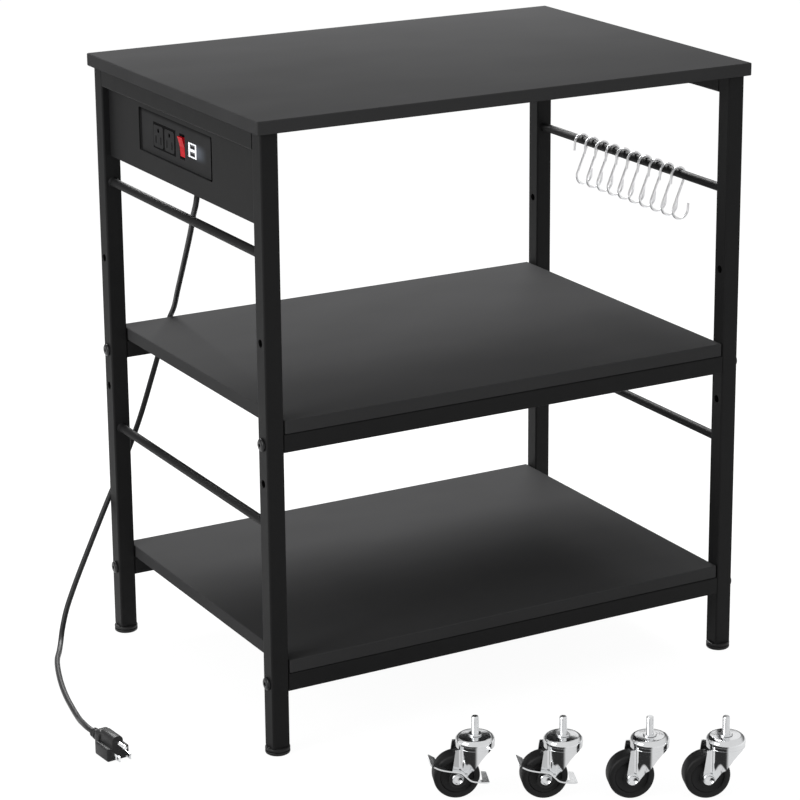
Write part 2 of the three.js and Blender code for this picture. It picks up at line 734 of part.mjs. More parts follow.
function casterFork() {
  const shoulder = crownTop - crownShoulder;
  const skirt = crownTop - crownSkirt;
  const hole = stemRadius + runGap;
  const curve = (radius, r0, z0) => [0, 1, 2].map((k) => {
    const angle = quarter * k / 2;
    return [r0 + radius * Math.cos(angle), z0 + radius * Math.sin(angle)];
  });
  const shoulderR = crownRadius - crownShoulder;
  const profile = [
    [crownRadius, skirt], ...curve(crownShoulder, shoulderR, shoulder), [hole, crownTop],
    [hole, crownTop - forkSheet],
    ...curve(crownShoulder - forkSheet, shoulderR, shoulder).reverse(),
    [crownRadius - forkSheet, skirt],
  ];
  profile.push(profile[0]);
  const crown = toSolid(lathe(profile, 14));

  const cheek = new THREE.Shape();
  const inside = crownRadius - forkSheet - cheekInset;
  cheek.moveTo(-inside, crownTop - forkSheet / 2);
  cheek.lineTo(-inside, skirt + cheekBackRise);
  cheek.lineTo(-crownRadius, skirt - cheekBackDrop);
  cheek.lineTo(-trail - earRadius, axleHeight);
  cheek.absarc(-trail, axleHeight, earRadius, Math.PI, 2 * Math.PI - cheekToeAngle);
  cheek.quadraticCurveTo(-cheekThroat, axleHeight + cheekSweepRise, inside - cheekFrontStep,
    skirt - cheekFrontDrop);
  cheek.lineTo(inside, skirt + cheekFrontRise);
  cheek.lineTo(inside, crownTop - forkSheet / 2);
  const cheekY = forkGap / 2;
  const cheekAt = (y) => toSolid(extrude(cheek, forkSheet, 3), turn(X, quarter), move(0, y, 0));
  const web = toSolid(new THREE.BoxGeometry(forkSheet, forkGap + 2 * forkWebBite, forkWebHeight),
    turn(Y, forkWebLean), move(inside - forkWebInset, 0, skirt - forkWebDrop));
  const shaft = cylinderY(axleRadius, forkGap + forkSheet, -trail, 0, axleHeight, 10);
  const headY = cheekY + forkSheet + axleHeadThick / 2 - axleHeadBite;
  const headAt = (y) => cylinderY(axleHeadRadius, axleHeadThick, -trail, y, axleHeight, 10);
  return toGeometry(join([
    crown, cheekAt(-cheekY), cheekAt(cheekY + forkSheet), web, shaft, headAt(-headY),
    headAt(headY),
  ]));
}

function casterWheel() {
  const [w, hub] = [wheelWidth / 2, wheelHubWidth / 2];
  const bore = axleRadius + seat;
  const rim = wheelRadius - wheelRimWidth;
  const half = [
    [bore, hub], [wheelHubRadius, hub], [wheelHubRadius + wheelStep, w - wheelDish],
    [rim - wheelStep, w - wheelDish], [rim, w], [wheelRadius - treadBevel, w],
    [wheelRadius, w - treadShoulder],
  ];
  const mirrored = half.map(([r, y]) => [r, -y]).reverse();
  const profile = [...half, ...mirrored, half[0]].reverse();
  return new THREE.LatheGeometry(profile.map(([r, y]) => new THREE.Vector2(r, y)),
    wheelSegments).translate(-trail, 0, axleHeight);
}

// The brake pedal is one pressed strip bent to an S, with a wing over the tread at each end and
// a plate round the axle head.
function brakePedal() {
  const spine = new THREE.CatmullRomCurve3([
    [-28.5, 19.5], [-20, 14.4], [-11, 11.6], [-2, 9.9], [3.4, 8.3], [8.2, 3.8], [13.2, -0.7],
    [22, -3], [32, -3.9],
  ].map(([u, v]) => new THREE.Vector3(u, v, 0)));
  const outline = new THREE.Shape();
  const steps = 14;
  const side = (offset) => Array.from({ length: steps + 1 }, (_, k) => {
    const t = k / steps;
    const tangent = spine.getTangentAt(t);
    const point = spine.getPointAt(t);
    return new THREE.Vector2(point.x - tangent.y * offset, point.y + tangent.x * offset);
  });
  outline.setFromPoints([...side(pedalSheet / 2), ...side(-pedalSheet / 2).reverse()]);
  const cheekFace = forkGap / 2 + forkSheet + seat;
  const depth = pedalFront + pedalWingDepth;
  const strip = toSolid(extrude(outline, depth), turn(X, quarter), move(0, -cheekFace
    + pedalWingDepth, 0));
  const clear = cylinderY(wheelRadius + pedalClearance, 2 * pedalWingDepth, 0,
    -cheekFace + pedalWingDepth, 0, 32);
  const plate = cylinderY(pedalHubRadius, pedalSheet, 0, -cheekFace - pedalSheet / 2, 0, 20);
  const eye = cylinderY(axleHeadRadius + runGap, 4 * pedalFront, 0, -cheekFace, 0, 16);
  return toGeometry(strip.subtract(clear).add(plate).subtract(eye))
    .translate(-trail, 0, axleHeight);
}

function makeCasters() {
  casterPlaces.forEach(([x, y], k) => {
    const caster = new THREE.Group();
    caster.position.set(x, y, 0);
    caster.rotation.z = casterHeading;
    part.add(caster);
    addPiece(`caster_stem_${k + 1}`, casterStem(), chrome, caster);
    addPiece(`caster_fork_${k + 1}`, casterFork(), chrome, caster);
    addPiece(`caster_wheel_${k + 1}`, casterWheel(), tyreBlack, caster);
    if (k < brakedCasters) addPiece(`brake_pedal_${k + 1}`, brakePedal(), chrome, caster);
  });
}

makeBoards();
makeLegs();
makeShelfRails();
makeSideBars();
makeBolts();
makeFeet();
makeOutletPanel();
makePowerUnit();
makeOutlets();
makeRocker();
makeUsbSocket();
makeCord();
makePlug();
makeHooks();
makeCasters();

// ---- The origin: on the floor, under the middle of everything but the cord and its plug
part.updateMatrixWorld(true);
const extent = new THREE.Box3();
for (const mesh of part.children) {
  if (mesh.name !== 'power_cord' && mesh.name !== 'plug') extent.expandByObject(mesh, true);
}
const middle = extent.getCenter(new THREE.Vector3());
part.position.set(-middle.x, -middle.y, -extent.min.z);

export default part;
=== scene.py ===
"""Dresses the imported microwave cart: finishes for its boards and frame, smooth rods, bolts, feet,
wire hooks, casters, the mains cord with its plug, and a plain white studio. Metres, +Z up, with
the cart's own sizes and places in millimetres."""
import math

import bmesh
import bpy
from bpy.props import FloatProperty, FloatVectorProperty, IntProperty, PointerProperty
from mathutils import Matrix, Vector


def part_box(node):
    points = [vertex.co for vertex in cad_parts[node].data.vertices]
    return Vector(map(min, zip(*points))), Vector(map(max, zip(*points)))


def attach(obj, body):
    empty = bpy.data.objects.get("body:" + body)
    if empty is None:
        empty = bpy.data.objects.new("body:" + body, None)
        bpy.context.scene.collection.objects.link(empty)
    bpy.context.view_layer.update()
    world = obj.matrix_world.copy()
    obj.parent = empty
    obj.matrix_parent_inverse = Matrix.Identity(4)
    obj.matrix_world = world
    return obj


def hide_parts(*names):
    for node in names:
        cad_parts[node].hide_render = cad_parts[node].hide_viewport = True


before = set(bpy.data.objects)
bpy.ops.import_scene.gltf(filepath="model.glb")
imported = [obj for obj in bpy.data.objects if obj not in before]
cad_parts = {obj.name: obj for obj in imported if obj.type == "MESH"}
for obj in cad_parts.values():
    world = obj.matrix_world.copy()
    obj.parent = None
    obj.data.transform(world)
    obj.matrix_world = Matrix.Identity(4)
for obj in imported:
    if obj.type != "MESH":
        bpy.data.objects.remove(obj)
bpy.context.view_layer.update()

bl_info = {
    "name": "Tiered microwave cart",
    "version": (1, 0, 0),
    "blender": (4, 5, 0),
    "location": "View3D > Sidebar > Cart",
    "description": "Finishes, hooks, casters, cord and studio for a tiered microwave cart",
    "category": "Object",
}

MM = 0.001
TOP_LOW, TOP_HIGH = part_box("top_board")
CART = Matrix.Translation((0, (TOP_LOW.y + TOP_HIGH.y) / 2, 0)) @ Matrix.Scale(MM, 4)


def cart_box(node):
    """The low and high corners of a node's box, in millimetres of the cart."""
    return [CART.inverted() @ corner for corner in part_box(node)]


# The cart's own places, in millimetres from the floor point under its middle.
SIDES = (("left", -1), ("right", 1))
ROWS = (("front", -1), ("rear", 1))
SHELVES = ("middle", "bottom")
LEG_LOW, LEG_HIGH = cart_box("leg_rear_right")
LEG_X, LEG_Y, _ = (LEG_LOW + LEG_HIGH) / 2
RODS = {level: cart_box(f"{level}_rod_right") for level in ("upper", "lower")}
ROD_HEIGHTS = {level: (low.z + high.z) / 2 for level, (low, high) in RODS.items()}
RAILS = [cart_box(f"{shelf}_rail_front") for shelf in SHELVES]
TOP_RAIL_BOTTOM = cart_box("top_rail_left")[0].z
PLUG_TIP = (-443, -78, 12.6)
PLUG_HEADING = math.radians(5)
CORD_ROUTE = (
    (-262, 13, 573.7), (-262, 13.6, 562), (-260, 22, 548), (-255, 40, 531.5),
    (-246.6, 66, 507.5), (-232.5, 116, 460.5), (-216.5, 172, 410.5), (-207.5, 205, 379.5),
    (-208.5, 215.4, 365), (-214, 219.6, 345), (-230, 218, 302), (-250, 215, 251),
    (-272, 212, 205), (-297, 211, 156), (-322, 211, 104), (-342, 210, 62), (-354.5, 206.5, 36),
    (-364, 198, 17), (-372, 185, 6.6), (-381, 168, 3.6), (-393, 145, 3.5), (-410, 97, 3.5),
    (-423, 49, 3.5), (-431.5, 6, 3.5), (-436.5, -22, 4.6), (-441.3, -44, 9.4),
    (-444.2, -64, 12.6), (-443.03, -78.3, 12.6),
)


# ---- Shader maths and finishes


class Link:
    """A value that runs through a shader tree, so that its maths reads as plain arithmetic."""

    def __init__(self, tree, socket):
        self.tree, self.socket = tree, socket

    def maths(self, operation, *terms):
        node = self.tree.nodes.new("ShaderNodeMath")
        node.operation = operation
        for socket, term in zip(node.inputs, terms):
            if isinstance(term, Link):
                self.tree.links.new(term.socket, socket)
            else:
                socket.default_value = term
        return Link(self.tree, node.outputs[0])

    def output(self, name):
        """Another output of the same node."""
        return Link(self.tree, self.socket.node.outputs[name])

    def __add__(self, other):
        return self.maths("ADD", self, other)

    def __sub__(self, other):
        return self.maths("SUBTRACT", self, other)

    def __rsub__(self, other):
        return self.maths("SUBTRACT", other, self)

    def __mul__(self, other):
        return self.maths("MULTIPLY", self, other)

    __radd__ = __add__
    __rmul__ = __mul__


class Tree:
    """A shader tree that nodes are added to, for a material or the world."""

    def __init__(self, owner):
        owner.use_nodes = True
        self.tree = owner.node_tree
        self.tree.nodes.clear()

    def add(self, kind, settings=None, sockets=None, output=0):
        node = self.tree.nodes.new(kind)
        for name, value in (settings or {}).items():
            setattr(node, name, value)
        for name, value in (sockets or {}).items():
            if isinstance(value, Link):
                self.tree.links.new(value.socket, node.inputs[name])
            else:
                node.inputs[name].default_value = value
        if not node.outputs:
            return None
        return Link(self.tree, node.outputs[output])

    def noise(self, scale, detail=2.0, stretch=(1, 1, 1)):
        place = self.add("ShaderNodeTexCoord", output="Object")
        place = self.add("ShaderNodeMapping", sockets={"Vector": place, "Scale": stretch})
        return self.add("ShaderNodeTexNoise",
                        sockets={"Vector": place, "Scale": scale, "Detail": detail})

    def band(self, value, start, end):
        return self.add("ShaderNodeMapRange", {"interpolation_type": "SMOOTHSTEP"},
                        {"Value": value, "From Min": start, "From Max": end})

    def blend(self, factor, first, second):
        return self.add("ShaderNodeMix", {"data_type": "RGBA"},
                        {0: factor, 6: first, 7: second}, output=2)

    def bump(self, height, strength, distance):
        return self.add("ShaderNodeBump",
                        sockets={"Height": height, "Strength": strength, "Distance": distance})

    def surface(self, **sockets):
        named = {name.replace("_", " "): value for name, value in sockets.items()}
        shader = self.add("ShaderNodeBsdfPrincipled", sockets=named)
        self.add("ShaderNodeOutputMaterial", sockets={"Surface": shader})


def along(tree, way, direction):
    """How far a way of sight agrees with a direction."""
    return tree.add("ShaderNodeVectorMath", {"operation": "DOT_PRODUCT"},
                    {0: way, 1: direction}, output="Value")


def shaded_point(tree):
    """The X, Y and Z of the shaded point, in metres of the shared frame."""
    place = tree.add("ShaderNodeTexCoord", output="Object")
    split = tree.add("ShaderNodeSeparateXYZ", sockets={"Vector": place})
    return [split.output(axis) for axis in "XYZ"]


def shade(colour, factor):
    return (*(min(1.0, c * factor) for c in colour[:3]), 1.0)


def finish_for(name, colour, variation, scale, stretch=(1, 1, 1)):
    """A new material with a colour that varies a little over the surface."""
    material = bpy.data.materials.new(name)
    tree = Tree(material)
    mottle = tree.noise(scale, 3.0, stretch)
    tint = tree.blend(mottle, shade(colour, 1 - variation), shade(colour, 1 + variation))
    return material, tree, mottle, tint


def board_laminate(colour):
    """Matt black melamine that mirrors nothing, its fine pore drawn out along the board."""
    material, tree, mottle, tint = finish_for("board laminate", colour, 0.10, 14, (0.5, 1, 1))
    pore = tree.noise(1500, stretch=(0.45, 1, 1))
    tree.surface(Base_Color=tint, Roughness=0.58 + mottle * 0.08 + pore * 0.05,
                 Specular_IOR_Level=0.0, Normal=tree.bump(pore, 0.12, 0.0002))
    return material


def powder_coat(colour):
    """Black powder coat with the soft orange peel of sprayed tube."""
    material, tree, mottle, tint = finish_for("powder coat", colour, 0.12, 40)
    peel = tree.noise(900)
    tree.surface(Base_Color=tint, Roughness=0.46 + mottle * 0.12, Specular_IOR_Level=0.08,
                 Normal=tree.bump(peel, 0.18, 0.0003))
    return material


BLACK = (0, 0, 0, 1)
# Painted shade for the deep parts of the outlets' slots and of the port's openings.
SLOT_SHADE = (0.001, 0.001, 0.001, 1)
OPENING_SHADE = (0.06, 0.06, 0.065, 1)


def painted_recess_shade(tree, tint, face, dark):
    """The tint on a face that looks left, and painted shade, a dark colour, on what lies behind it.
    """
    depth = tree.band(shaded_point(tree)[0], face + 0.4 * MM, face + 1.0 * MM)
    return tree.blend(depth, tint, dark)


def moulded_plastic(name, colour, roughness, grain=1400, shine=0.3, face=None):
    """Moulded plastic with a fine eroded texture, with painted shade behind its face where it has
    slots.
    """
    material, tree, mottle, tint = finish_for(name, colour, 0.10, 60)
    if face is not None:
        # Painted shade on the slots' walls and floors behind the face.
        tint = painted_recess_shade(tree, tint, face, SLOT_SHADE)
    texture = tree.noise(grain)
    tree.surface(Base_Color=tint, Roughness=roughness + mottle * 0.10,
                 Specular_IOR_Level=shine, Normal=tree.bump(texture, 0.10, 0.0002))
    return material


def bright_plate(name, colour, roughness, metallic=1.0):
    """Bright plating with faint smears and a trace of the drawn or pressed metal under it."""
    material, tree, mottle, tint = finish_for(name, colour, 0.05, 90)
    smear = tree.noise(260, 3.0)
    tree.surface(Base_Color=tint, Metallic=metallic, Roughness=roughness + smear * 0.08,
                 Normal=tree.bump(mottle, 0.03, 0.0002))
    return material


def glowing_port(colour, face):
    """White socket plastic, lit from inside, with painted shade in the openings behind its face."""
    material, tree, mottle, tint = finish_for("lit port plastic", colour, 0.04, 300)
    # Painted shade in the port's openings behind its face.
    tint = painted_recess_shade(tree, tint, face, OPENING_SHADE)
    tree.surface(Base_Color=tint, Roughness=0.30 + mottle * 0.08, Emission_Color=tint,
                 Emission_Strength=0.15)
    return material


# The housing's painted light and shade, in millimetres of the cart: the top of the face that shows
# in the panel with the height of the painted shade along its top edge, where the painted black
# shadow at its front end begins, and the port's painted light, which runs forward from the port's
# edge and fades above and below its middle.
FACE_TOP, TOP_SHADE = 642.8, 7
FRONT_SHADOW_Y = -66.9
PORT_EDGE = (0, -31, 617.5)
SPILL_LIGHT = (0.085, 0.098, 0.12, 1)
SPILL_START, SPILL_FULL, SPILL_REACH = -4, 2, 28
SPILL_CORE, SPILL_RIM = 2, 11


def unit_plastic(colour):
    """Black housing plastic with painted shade along its upper edge and a painted black shadow at
    its front end, and the port's soft light painted on its face in front of the port."""
    material, tree, mottle, tint = finish_for("housing plastic", colour, 0.10, 60)
    _, across, rise = shaded_point(tree)
    top, end = FACE_TOP * MM, (CART @ Vector((0, FRONT_SHADOW_Y, 0))).y
    # Painted shade along the face's top edge, and a painted black shadow at its front end.
    tint = tree.blend(tree.band(rise, top - TOP_SHADE * MM, top), tint, shade(colour, 0.25))
    tint = tree.blend(tree.band(end - across, -0.2 * MM, 0.2 * MM), tint, BLACK)
    # Painted light: the port's glow laid on the housing face as emission, fading away from the
    # port.
    port = CART @ Vector(PORT_EDGE)
    ahead = port.y - across
    fade = 1 - tree.band(ahead, 0.0, SPILL_REACH * MM)
    fade = fade * tree.band(ahead, SPILL_START * MM, SPILL_FULL * MM)
    core, rim = SPILL_CORE * MM, SPILL_RIM * MM
    tall = tree.band(rise, port.z - rim, port.z - core)
    tall = tall * (1 - tree.band(rise, port.z + core, port.z + rim))
    spill = tree.blend(fade * tall, BLACK, SPILL_LIGHT)
    texture = tree.noise(1400)
    tree.surface(Base_Color=tint, Roughness=0.42 + mottle * 0.10, Specular_IOR_Level=0.0,
                 Emission_Color=spill, Emission_Strength=1.0,
                 Normal=tree.bump(texture, 0.10, 0.0002))
    return material


# ---- Mesh making


def ring(radius, height, sides):
    return [Vector((radius * math.cos(2 * math.pi * k / sides),
                    radius * math.sin(2 * math.pi * k / sides), height))
            for k in range(sides)]


def skin(bm, rings, matrix, finish=0, start=True, end=True):
    """Faces between rings of points, with the first and last ring closed unless told not to."""
    rows = [[bm.verts.new(matrix @ point) for point in points] for points in rings]
    for low, high in zip(rows, rows[1:]):
        count = len(low)
        for k in range(count):
            face = bm.faces.new((low[k], low[(k + 1) % count], high[(k + 1) % count], high[k]))
            face.material_index = finish
    if start:
        bm.faces.new(rows[0][::-1]).material_index = finish
    if end:
        bm.faces.new(rows[-1]).material_index = finish


def lathe(bm, profile, sides, matrix, finish=0, loop=False):
    """Turns (radius, height) pairs about Z. A loop profile makes a closed ring with a bore."""
    rings = [ring(radius, height, sides) for radius, height in profile]
    if loop:
        rings.append(rings[0])
    skin(bm, rings, matrix, finish, start=not loop, end=not loop)


def arc_points(x, z, radius, start, turn, steps):
    """Points of an arc about (x, z), both ends included."""
    angles = [start + turn * step / steps for step in range(steps + 1)]
    return [(x + radius * math.cos(angle), z + radius * math.sin(angle)) for angle in angles]


def make_piece(name, bm, body, finishes, replaced=()):
    """Turns a bmesh into a finished piece that rides on a body."""
    bmesh.ops.remove_doubles(bm, verts=bm.verts, dist=1e-7)
    bmesh.ops.recalc_face_normals(bm, faces=bm.faces)
    mesh = bpy.data.meshes.new(name)
    bm.to_mesh(mesh)
    bm.free()
    return settle(name, mesh, body, finishes, replaced)


def settle(name, mesh, body, finishes, replaced=(), sharp=35):
    """Names a mesh, shades it, gives it its finishes and joins it to its body."""
    mesh.name = name
    piece = bpy.data.objects.new(name, mesh)
    bpy.context.scene.collection.objects.link(piece)
    if not mesh.materials:
        for finish in finishes:
            mesh.materials.append(finish)
    mesh.shade_smooth()
    mesh.set_sharp_from_angle(angle=math.radians(sharp))
    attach(piece, body)
    if replaced:
        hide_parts(*replaced)
    return piece


def dress(finish, *nodes):
    """Gives carried-over nodes a finish."""
    for node in nodes:
        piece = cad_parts[node]
        piece.data.materials.clear()
        piece.data.materials.append(finish)


# ---- Geometry Nodes trees


class Recipe:
    """A geometry tree with named inputs, ending in Realize Instances and Set Material."""

    def __init__(self, name, inputs):
        self.tree = bpy.data.node_groups.new(name, "GeometryNodeTree")
        face = self.tree.interface
        face.new_socket("Geometry", in_out="INPUT", socket_type="NodeSocketGeometry")
        self.identifiers = {}
        for label, kind in (*inputs, ("Finish", "NodeSocketMaterial")):
            socket = face.new_socket(label, in_out="INPUT", socket_type=kind)
            self.identifiers[label] = socket.identifier
        face.new_socket("Geometry", in_out="OUTPUT", socket_type="NodeSocketGeometry")
        self.source = self.tree.nodes.new("NodeGroupInput")

    def add(self, kind, settings=None, sockets=None):
        node = self.tree.nodes.new(kind)
        for name, value in (settings or {}).items():
            setattr(node, name, value)
        for name, value in (sockets or {}).items():
            if isinstance(value, bpy.types.NodeSocket):
                self.tree.links.new(value, node.inputs[name])
            else:
                node.inputs[name].default_value = value
        return node

    def end(self, geometry):
        real = self.add("GeometryNodeRealizeInstances", sockets={"Geometry": geometry})
        done = self.add("GeometryNodeSetMaterial", sockets={
            "Geometry": real.outputs[0], "Material": self.source.outputs["Finish"]})
        out = self.tree.nodes.new("NodeGroupOutput")
        self.tree.links.new(done.outputs[0], out.inputs[0])

    def run(self, source, values):
        """The plain mesh that the tree makes of an object, which is then removed."""
        bpy.context.scene.collection.objects.link(source)
        modifier = source.modifiers.new("recipe", "NODES")
        modifier.node_group = self.tree
        for label, value in values.items():
            modifier[self.identifiers[label]] = value
        graph = bpy.context.evaluated_depsgraph_get()
        mesh = bpy.data.meshes.new_from_object(source.evaluated_get(graph))
        source.modifiers.remove(modifier)
        bpy.data.objects.remove(source)
        return mesh


def wire_recipe():
    """Sweeps a round wire along a curve."""
    recipe = Recipe("round wire", (("Radius", "NodeSocketFloat"), ("Sides", "NodeSocketInt")))
    section = recipe.add("GeometryNodeCurvePrimitiveCircle", {"mode": "RADIUS"}, {
        "Radius": recipe.source.outputs["Radius"],
        "Resolution": recipe.source.outputs["Sides"]})
    swept = recipe.add("GeometryNodeCurveToMesh", sockets={
        "Curve": recipe.source.outputs["Geometry"], "Profile Curve": section.outputs[0],
        "Fill Caps": True})
    recipe.end(swept.outputs[0])
    return recipe


def fastener_recipe():
    """Sets one fastener on every point, turned to face the way the point is told to."""
    recipe = Recipe("fasteners", (("Fastener", "NodeSocketObject"), ("Size", "NodeSocketFloat")))
    facing = recipe.add("GeometryNodeInputNamedAttribute", {"data_type": "FLOAT_VECTOR"},
                        {"Name": "facing"})
    turned = recipe.add("FunctionNodeAlignRotationToVector", {"axis": "Z"},
                        {"Vector": facing.outputs[0]})
    shape = recipe.add("GeometryNodeObjectInfo",
                       sockets={"Object": recipe.source.outputs["Fastener"]})
    spread = recipe.add("GeometryNodeInstanceOnPoints", sockets={
        "Points": recipe.source.outputs["Geometry"], "Instance": shape.outputs["Geometry"],
        "Rotation": turned.outputs[0], "Scale": recipe.source.outputs["Size"]})
    recipe.end(spread.outputs[0])
    return recipe


def open_curve(name, points):
    """A curve object of one open straight-sectioned spline through the points, in metres."""
    curve = bpy.data.curves.new(name, "CURVE")
    curve.dimensions = "3D"
    spline = curve.splines.new("POLY")
    spline.points.add(len(points) - 1)
    for target, point in zip(spline.points, points):
        target.co = (*point, 1)
    return bpy.data.objects.new(name, curve)


def fasteners(name, bm, places, finish, replaced=()):
    """One piece of the cart's body made of a fastener at each (place, facing)."""
    mesh = bpy.data.meshes.new(name + "_shape")
    bmesh.ops.recalc_face_normals(bm, faces=bm.faces)
    bm.to_mesh(mesh)
    bm.free()
    shape = bpy.data.objects.new(name + "_shape", mesh)
    points = bpy.data.meshes.new(name + "_points")
    points.from_pydata([CART @ Vector(place) for place, _ in places], [], [])
    facing = points.attributes.new("facing", "FLOAT_VECTOR", "POINT")
    facing.data.foreach_set("vector", [c for _, way in places for c in way])
    source = bpy.data.objects.new(name + "_points", points)
    made = fastener_recipe().run(source, {"Fastener": shape, "Size": 1.0, "Finish": finish})
    bpy.data.objects.remove(shape)
    return settle(name, made, "cart", (finish,), replaced)


# ---- Sizes and colours that a user would change


def size(label, about, default):
    return FloatProperty(name=label, description=about, default=default, min=0.0001, max=0.2,
                         unit="LENGTH", precision=4)


def colour(label, about, default):
    return FloatVectorProperty(name=label, description=about, default=(*default, 1.0), size=4,
                               min=0.0, max=1.0, subtype="COLOR")


class CartSizes(bpy.types.PropertyGroup):
    """Sizes of the pieces that stand for plain solids."""

    rod_radius: size("Rod radius", "Radius of the side rods", 0.0049)
    hook_wire: size("Hook wire radius", "Radius of the hooks' wire", 0.0015)
    cord_radius: size("Cord radius", "Radius of the mains cord", 0.00315)
    bolt_head: size("Bolt head radius", "Radius of a frame bolt's button head", 0.007)
    foot_radius: size("Foot radius", "Radius of a levelling foot", 0.0134)
    wheel_radius: size("Wheel radius", "Radius of a caster wheel", 0.024)
    round_sides: IntProperty(name="Round sides", description="Sides of turned pieces",
                             default=64, min=16, max=128)


class CartFinishes(bpy.types.PropertyGroup):
    """Colours of the cart's finishes."""

    laminate: colour("Board laminate", "Colour of the three boards", (0.038, 0.038, 0.0385))
    paint: colour("Frame paint", "Colour of the frame's powder coat", (0.012, 0.012, 0.0122))
    fastener: colour("Fasteners", "Colour of the bolts and screws", (0.008, 0.008, 0.0085))
    plastic: colour("Black plastic", "Colour of the power unit", (0.030, 0.030, 0.0305))
    rubber: colour("Cord and plug", "Colour of the cord's sheath", (0.010, 0.010, 0.0105))
    rocker: colour("Rocker", "Colour of the switch", (0.40, 0.003, 0.008))
    port: colour("USB port", "Colour of the lit port", (0.86, 0.88, 0.92))
    plating: colour("Bright plating", "Colour of casters and pins", (0.86, 0.87, 0.88))
    wire: colour("Hook plating", "Colour of the wire hooks", (0.92, 0.92, 0.93))
    wheel: colour("Wheels", "Colour of the caster wheels", (0.007, 0.007, 0.0073))


# ---- Stage: camera, floor, world and lamps


def aim(obj, at):
    obj.rotation_euler = (Vector(at) - obj.location).to_track_quat("-Z", "Y").to_euler()


def soft_lamp(name, place, wide, tall, power, at):
    lamp = bpy.data.lights.new(name, "AREA")
    lamp.shape = "RECTANGLE"
    lamp.size, lamp.size_y, lamp.energy = wide, tall, power
    holder = bpy.data.objects.new(name, lamp)
    bpy.context.scene.collection.objects.link(holder)
    holder.location = place
    aim(holder, at)
    holder.visible_camera = False


# The camera as fitted to the photograph: its place in millimetres of the cart, angles in degrees.
LENS, SENSOR_WIDTH = 128.04, 36
SHIFT_X, SHIFT_Y = -0.0699, -0.0999
CAMERA_PLACE = (-1511.7, -2689.8, 1275.1)
CAMERA_HEADING, CAMERA_FALL, CAMERA_ROLL = -30.141, 16.087, -0.142

# The floor in metres. Its white is mixed in for camera rays and for rays off glossy surfaces. A
# dark card round the casters shows to the second kind alone, and only from the way it faces.
FLOOR_HALF = 14
FLOOR_CLOTH = (0.62, 0.62, 0.62, 1)
FLOOR_WHITE, WHITE_TO_CAMERA, WHITE_TO_GLOSS = 1.10, 0.87, 0.40
DARK_CARD_MIDDLE = (-42, -457, 0)
DARK_CARD_FACES, DARK_CARD_EDGE = (0.94, 0.342, 0), (0.50, 0.72)
DARK_CARD_REACH, DARK_CARD_LIGHT = (0.40, 0.50), 0.03

# The world as the object sees it: a pale sky, dim towards the rear horizon, with a bright card
# that the tops of the casters' crowns mirror. Each edge is where its change starts and ends.
UP = (0, 0, 1)
REAR_WAY, REAR_EDGE, REAR_TOP_EDGE = (0.55, 0.835, 0), (0.20, 0.80), (0.30, 0.62)
BRIGHT_CARD_WAY, BRIGHT_CARD_EDGE = (0.500, 0.756, 0.4226), (0.985, 0.993)
SKY_LIGHT, REAR_DIM, BRIGHT_CARD_LIGHT = 0.74, 0.58, 0.90

# Lamps in metres and watts: name, place, width, height and power.
LAMPS = (
    ("rear softbox", (0.3, 1.25, 1.40), 1.2, 0.6, 68),
    ("left softbox", (-2.4, -0.2, 1.3), 1.2, 1.6, 34),
)
LAMPS_AIM = (0, 0, 380)


def set_camera(scene):
    camera = bpy.data.cameras.new("camera")
    camera.lens, camera.sensor_width = LENS, SENSOR_WIDTH
    camera.shift_x, camera.shift_y = SHIFT_X, SHIFT_Y
    camera.clip_start, camera.clip_end = 0.1, 60
    holder = bpy.data.objects.new("camera", camera)
    scene.collection.objects.link(holder)
    turn = Matrix.Rotation(math.radians(CAMERA_HEADING), 4, "Z")
    turn = turn @ Matrix.Rotation(math.radians(90 - CAMERA_FALL), 4, "X")
    turn = turn @ Matrix.Rotation(math.radians(CAMERA_ROLL), 4, "Z")
    holder.matrix_world = Matrix.Translation(CART @ Vector(CAMERA_PLACE)) @ turn
    scene.camera = holder


def floor_finish():
    """White cloth that the camera sees as plain white, with the dark card for reflections."""
    material = bpy.data.materials.new("studio floor")
    tree = Tree(material)
    camera_ray = tree.add("ShaderNodeLightPath", output="Is Camera Ray")
    glossy_ray = camera_ray.output("Is Glossy Ray")
    cloth = tree.add("ShaderNodeBsdfDiffuse", sockets={"Color": FLOOR_CLOTH})
    white = tree.add("ShaderNodeEmission", sockets={"Strength": FLOOR_WHITE})
    plain = tree.add("ShaderNodeMixShader", sockets={
        0: camera_ray * WHITE_TO_CAMERA + glossy_ray * WHITE_TO_GLOSS, 1: cloth, 2: white})
    # For a glossy ray this is the way back to the surface that mirrors the floor, not to the
    # camera, so the card keeps its place in every view.
    back = tree.add("ShaderNodeNewGeometry", output="Incoming")
    apart = tree.add("ShaderNodeVectorMath", {"operation": "DISTANCE"},
                     {0: back.output("Position"), 1: CART @ Vector(DARK_CARD_MIDDLE)},
                     output="Value")
    card = tree.band(along(tree, back, DARK_CARD_FACES), *DARK_CARD_EDGE)
    card = card * (1 - tree.band(apart, *DARK_CARD_REACH))
    dark = tree.add("ShaderNodeEmission", sockets={"Strength": DARK_CARD_LIGHT})
    carded = tree.add("ShaderNodeMixShader", sockets={0: glossy_ray * card, 1: plain, 2: dark})
    tree.add("ShaderNodeOutputMaterial", sockets={"Surface": carded})
    return material


def make_floor(scene):
    bm = bmesh.new()
    bmesh.ops.create_grid(bm, x_segments=1, y_segments=1, size=FLOOR_HALF)
    mesh = bpy.data.meshes.new("floor")
    bm.to_mesh(mesh)
    bm.free()
    mesh.materials.append(floor_finish())
    floor = bpy.data.objects.new("floor", mesh)
    scene.collection.objects.link(floor)


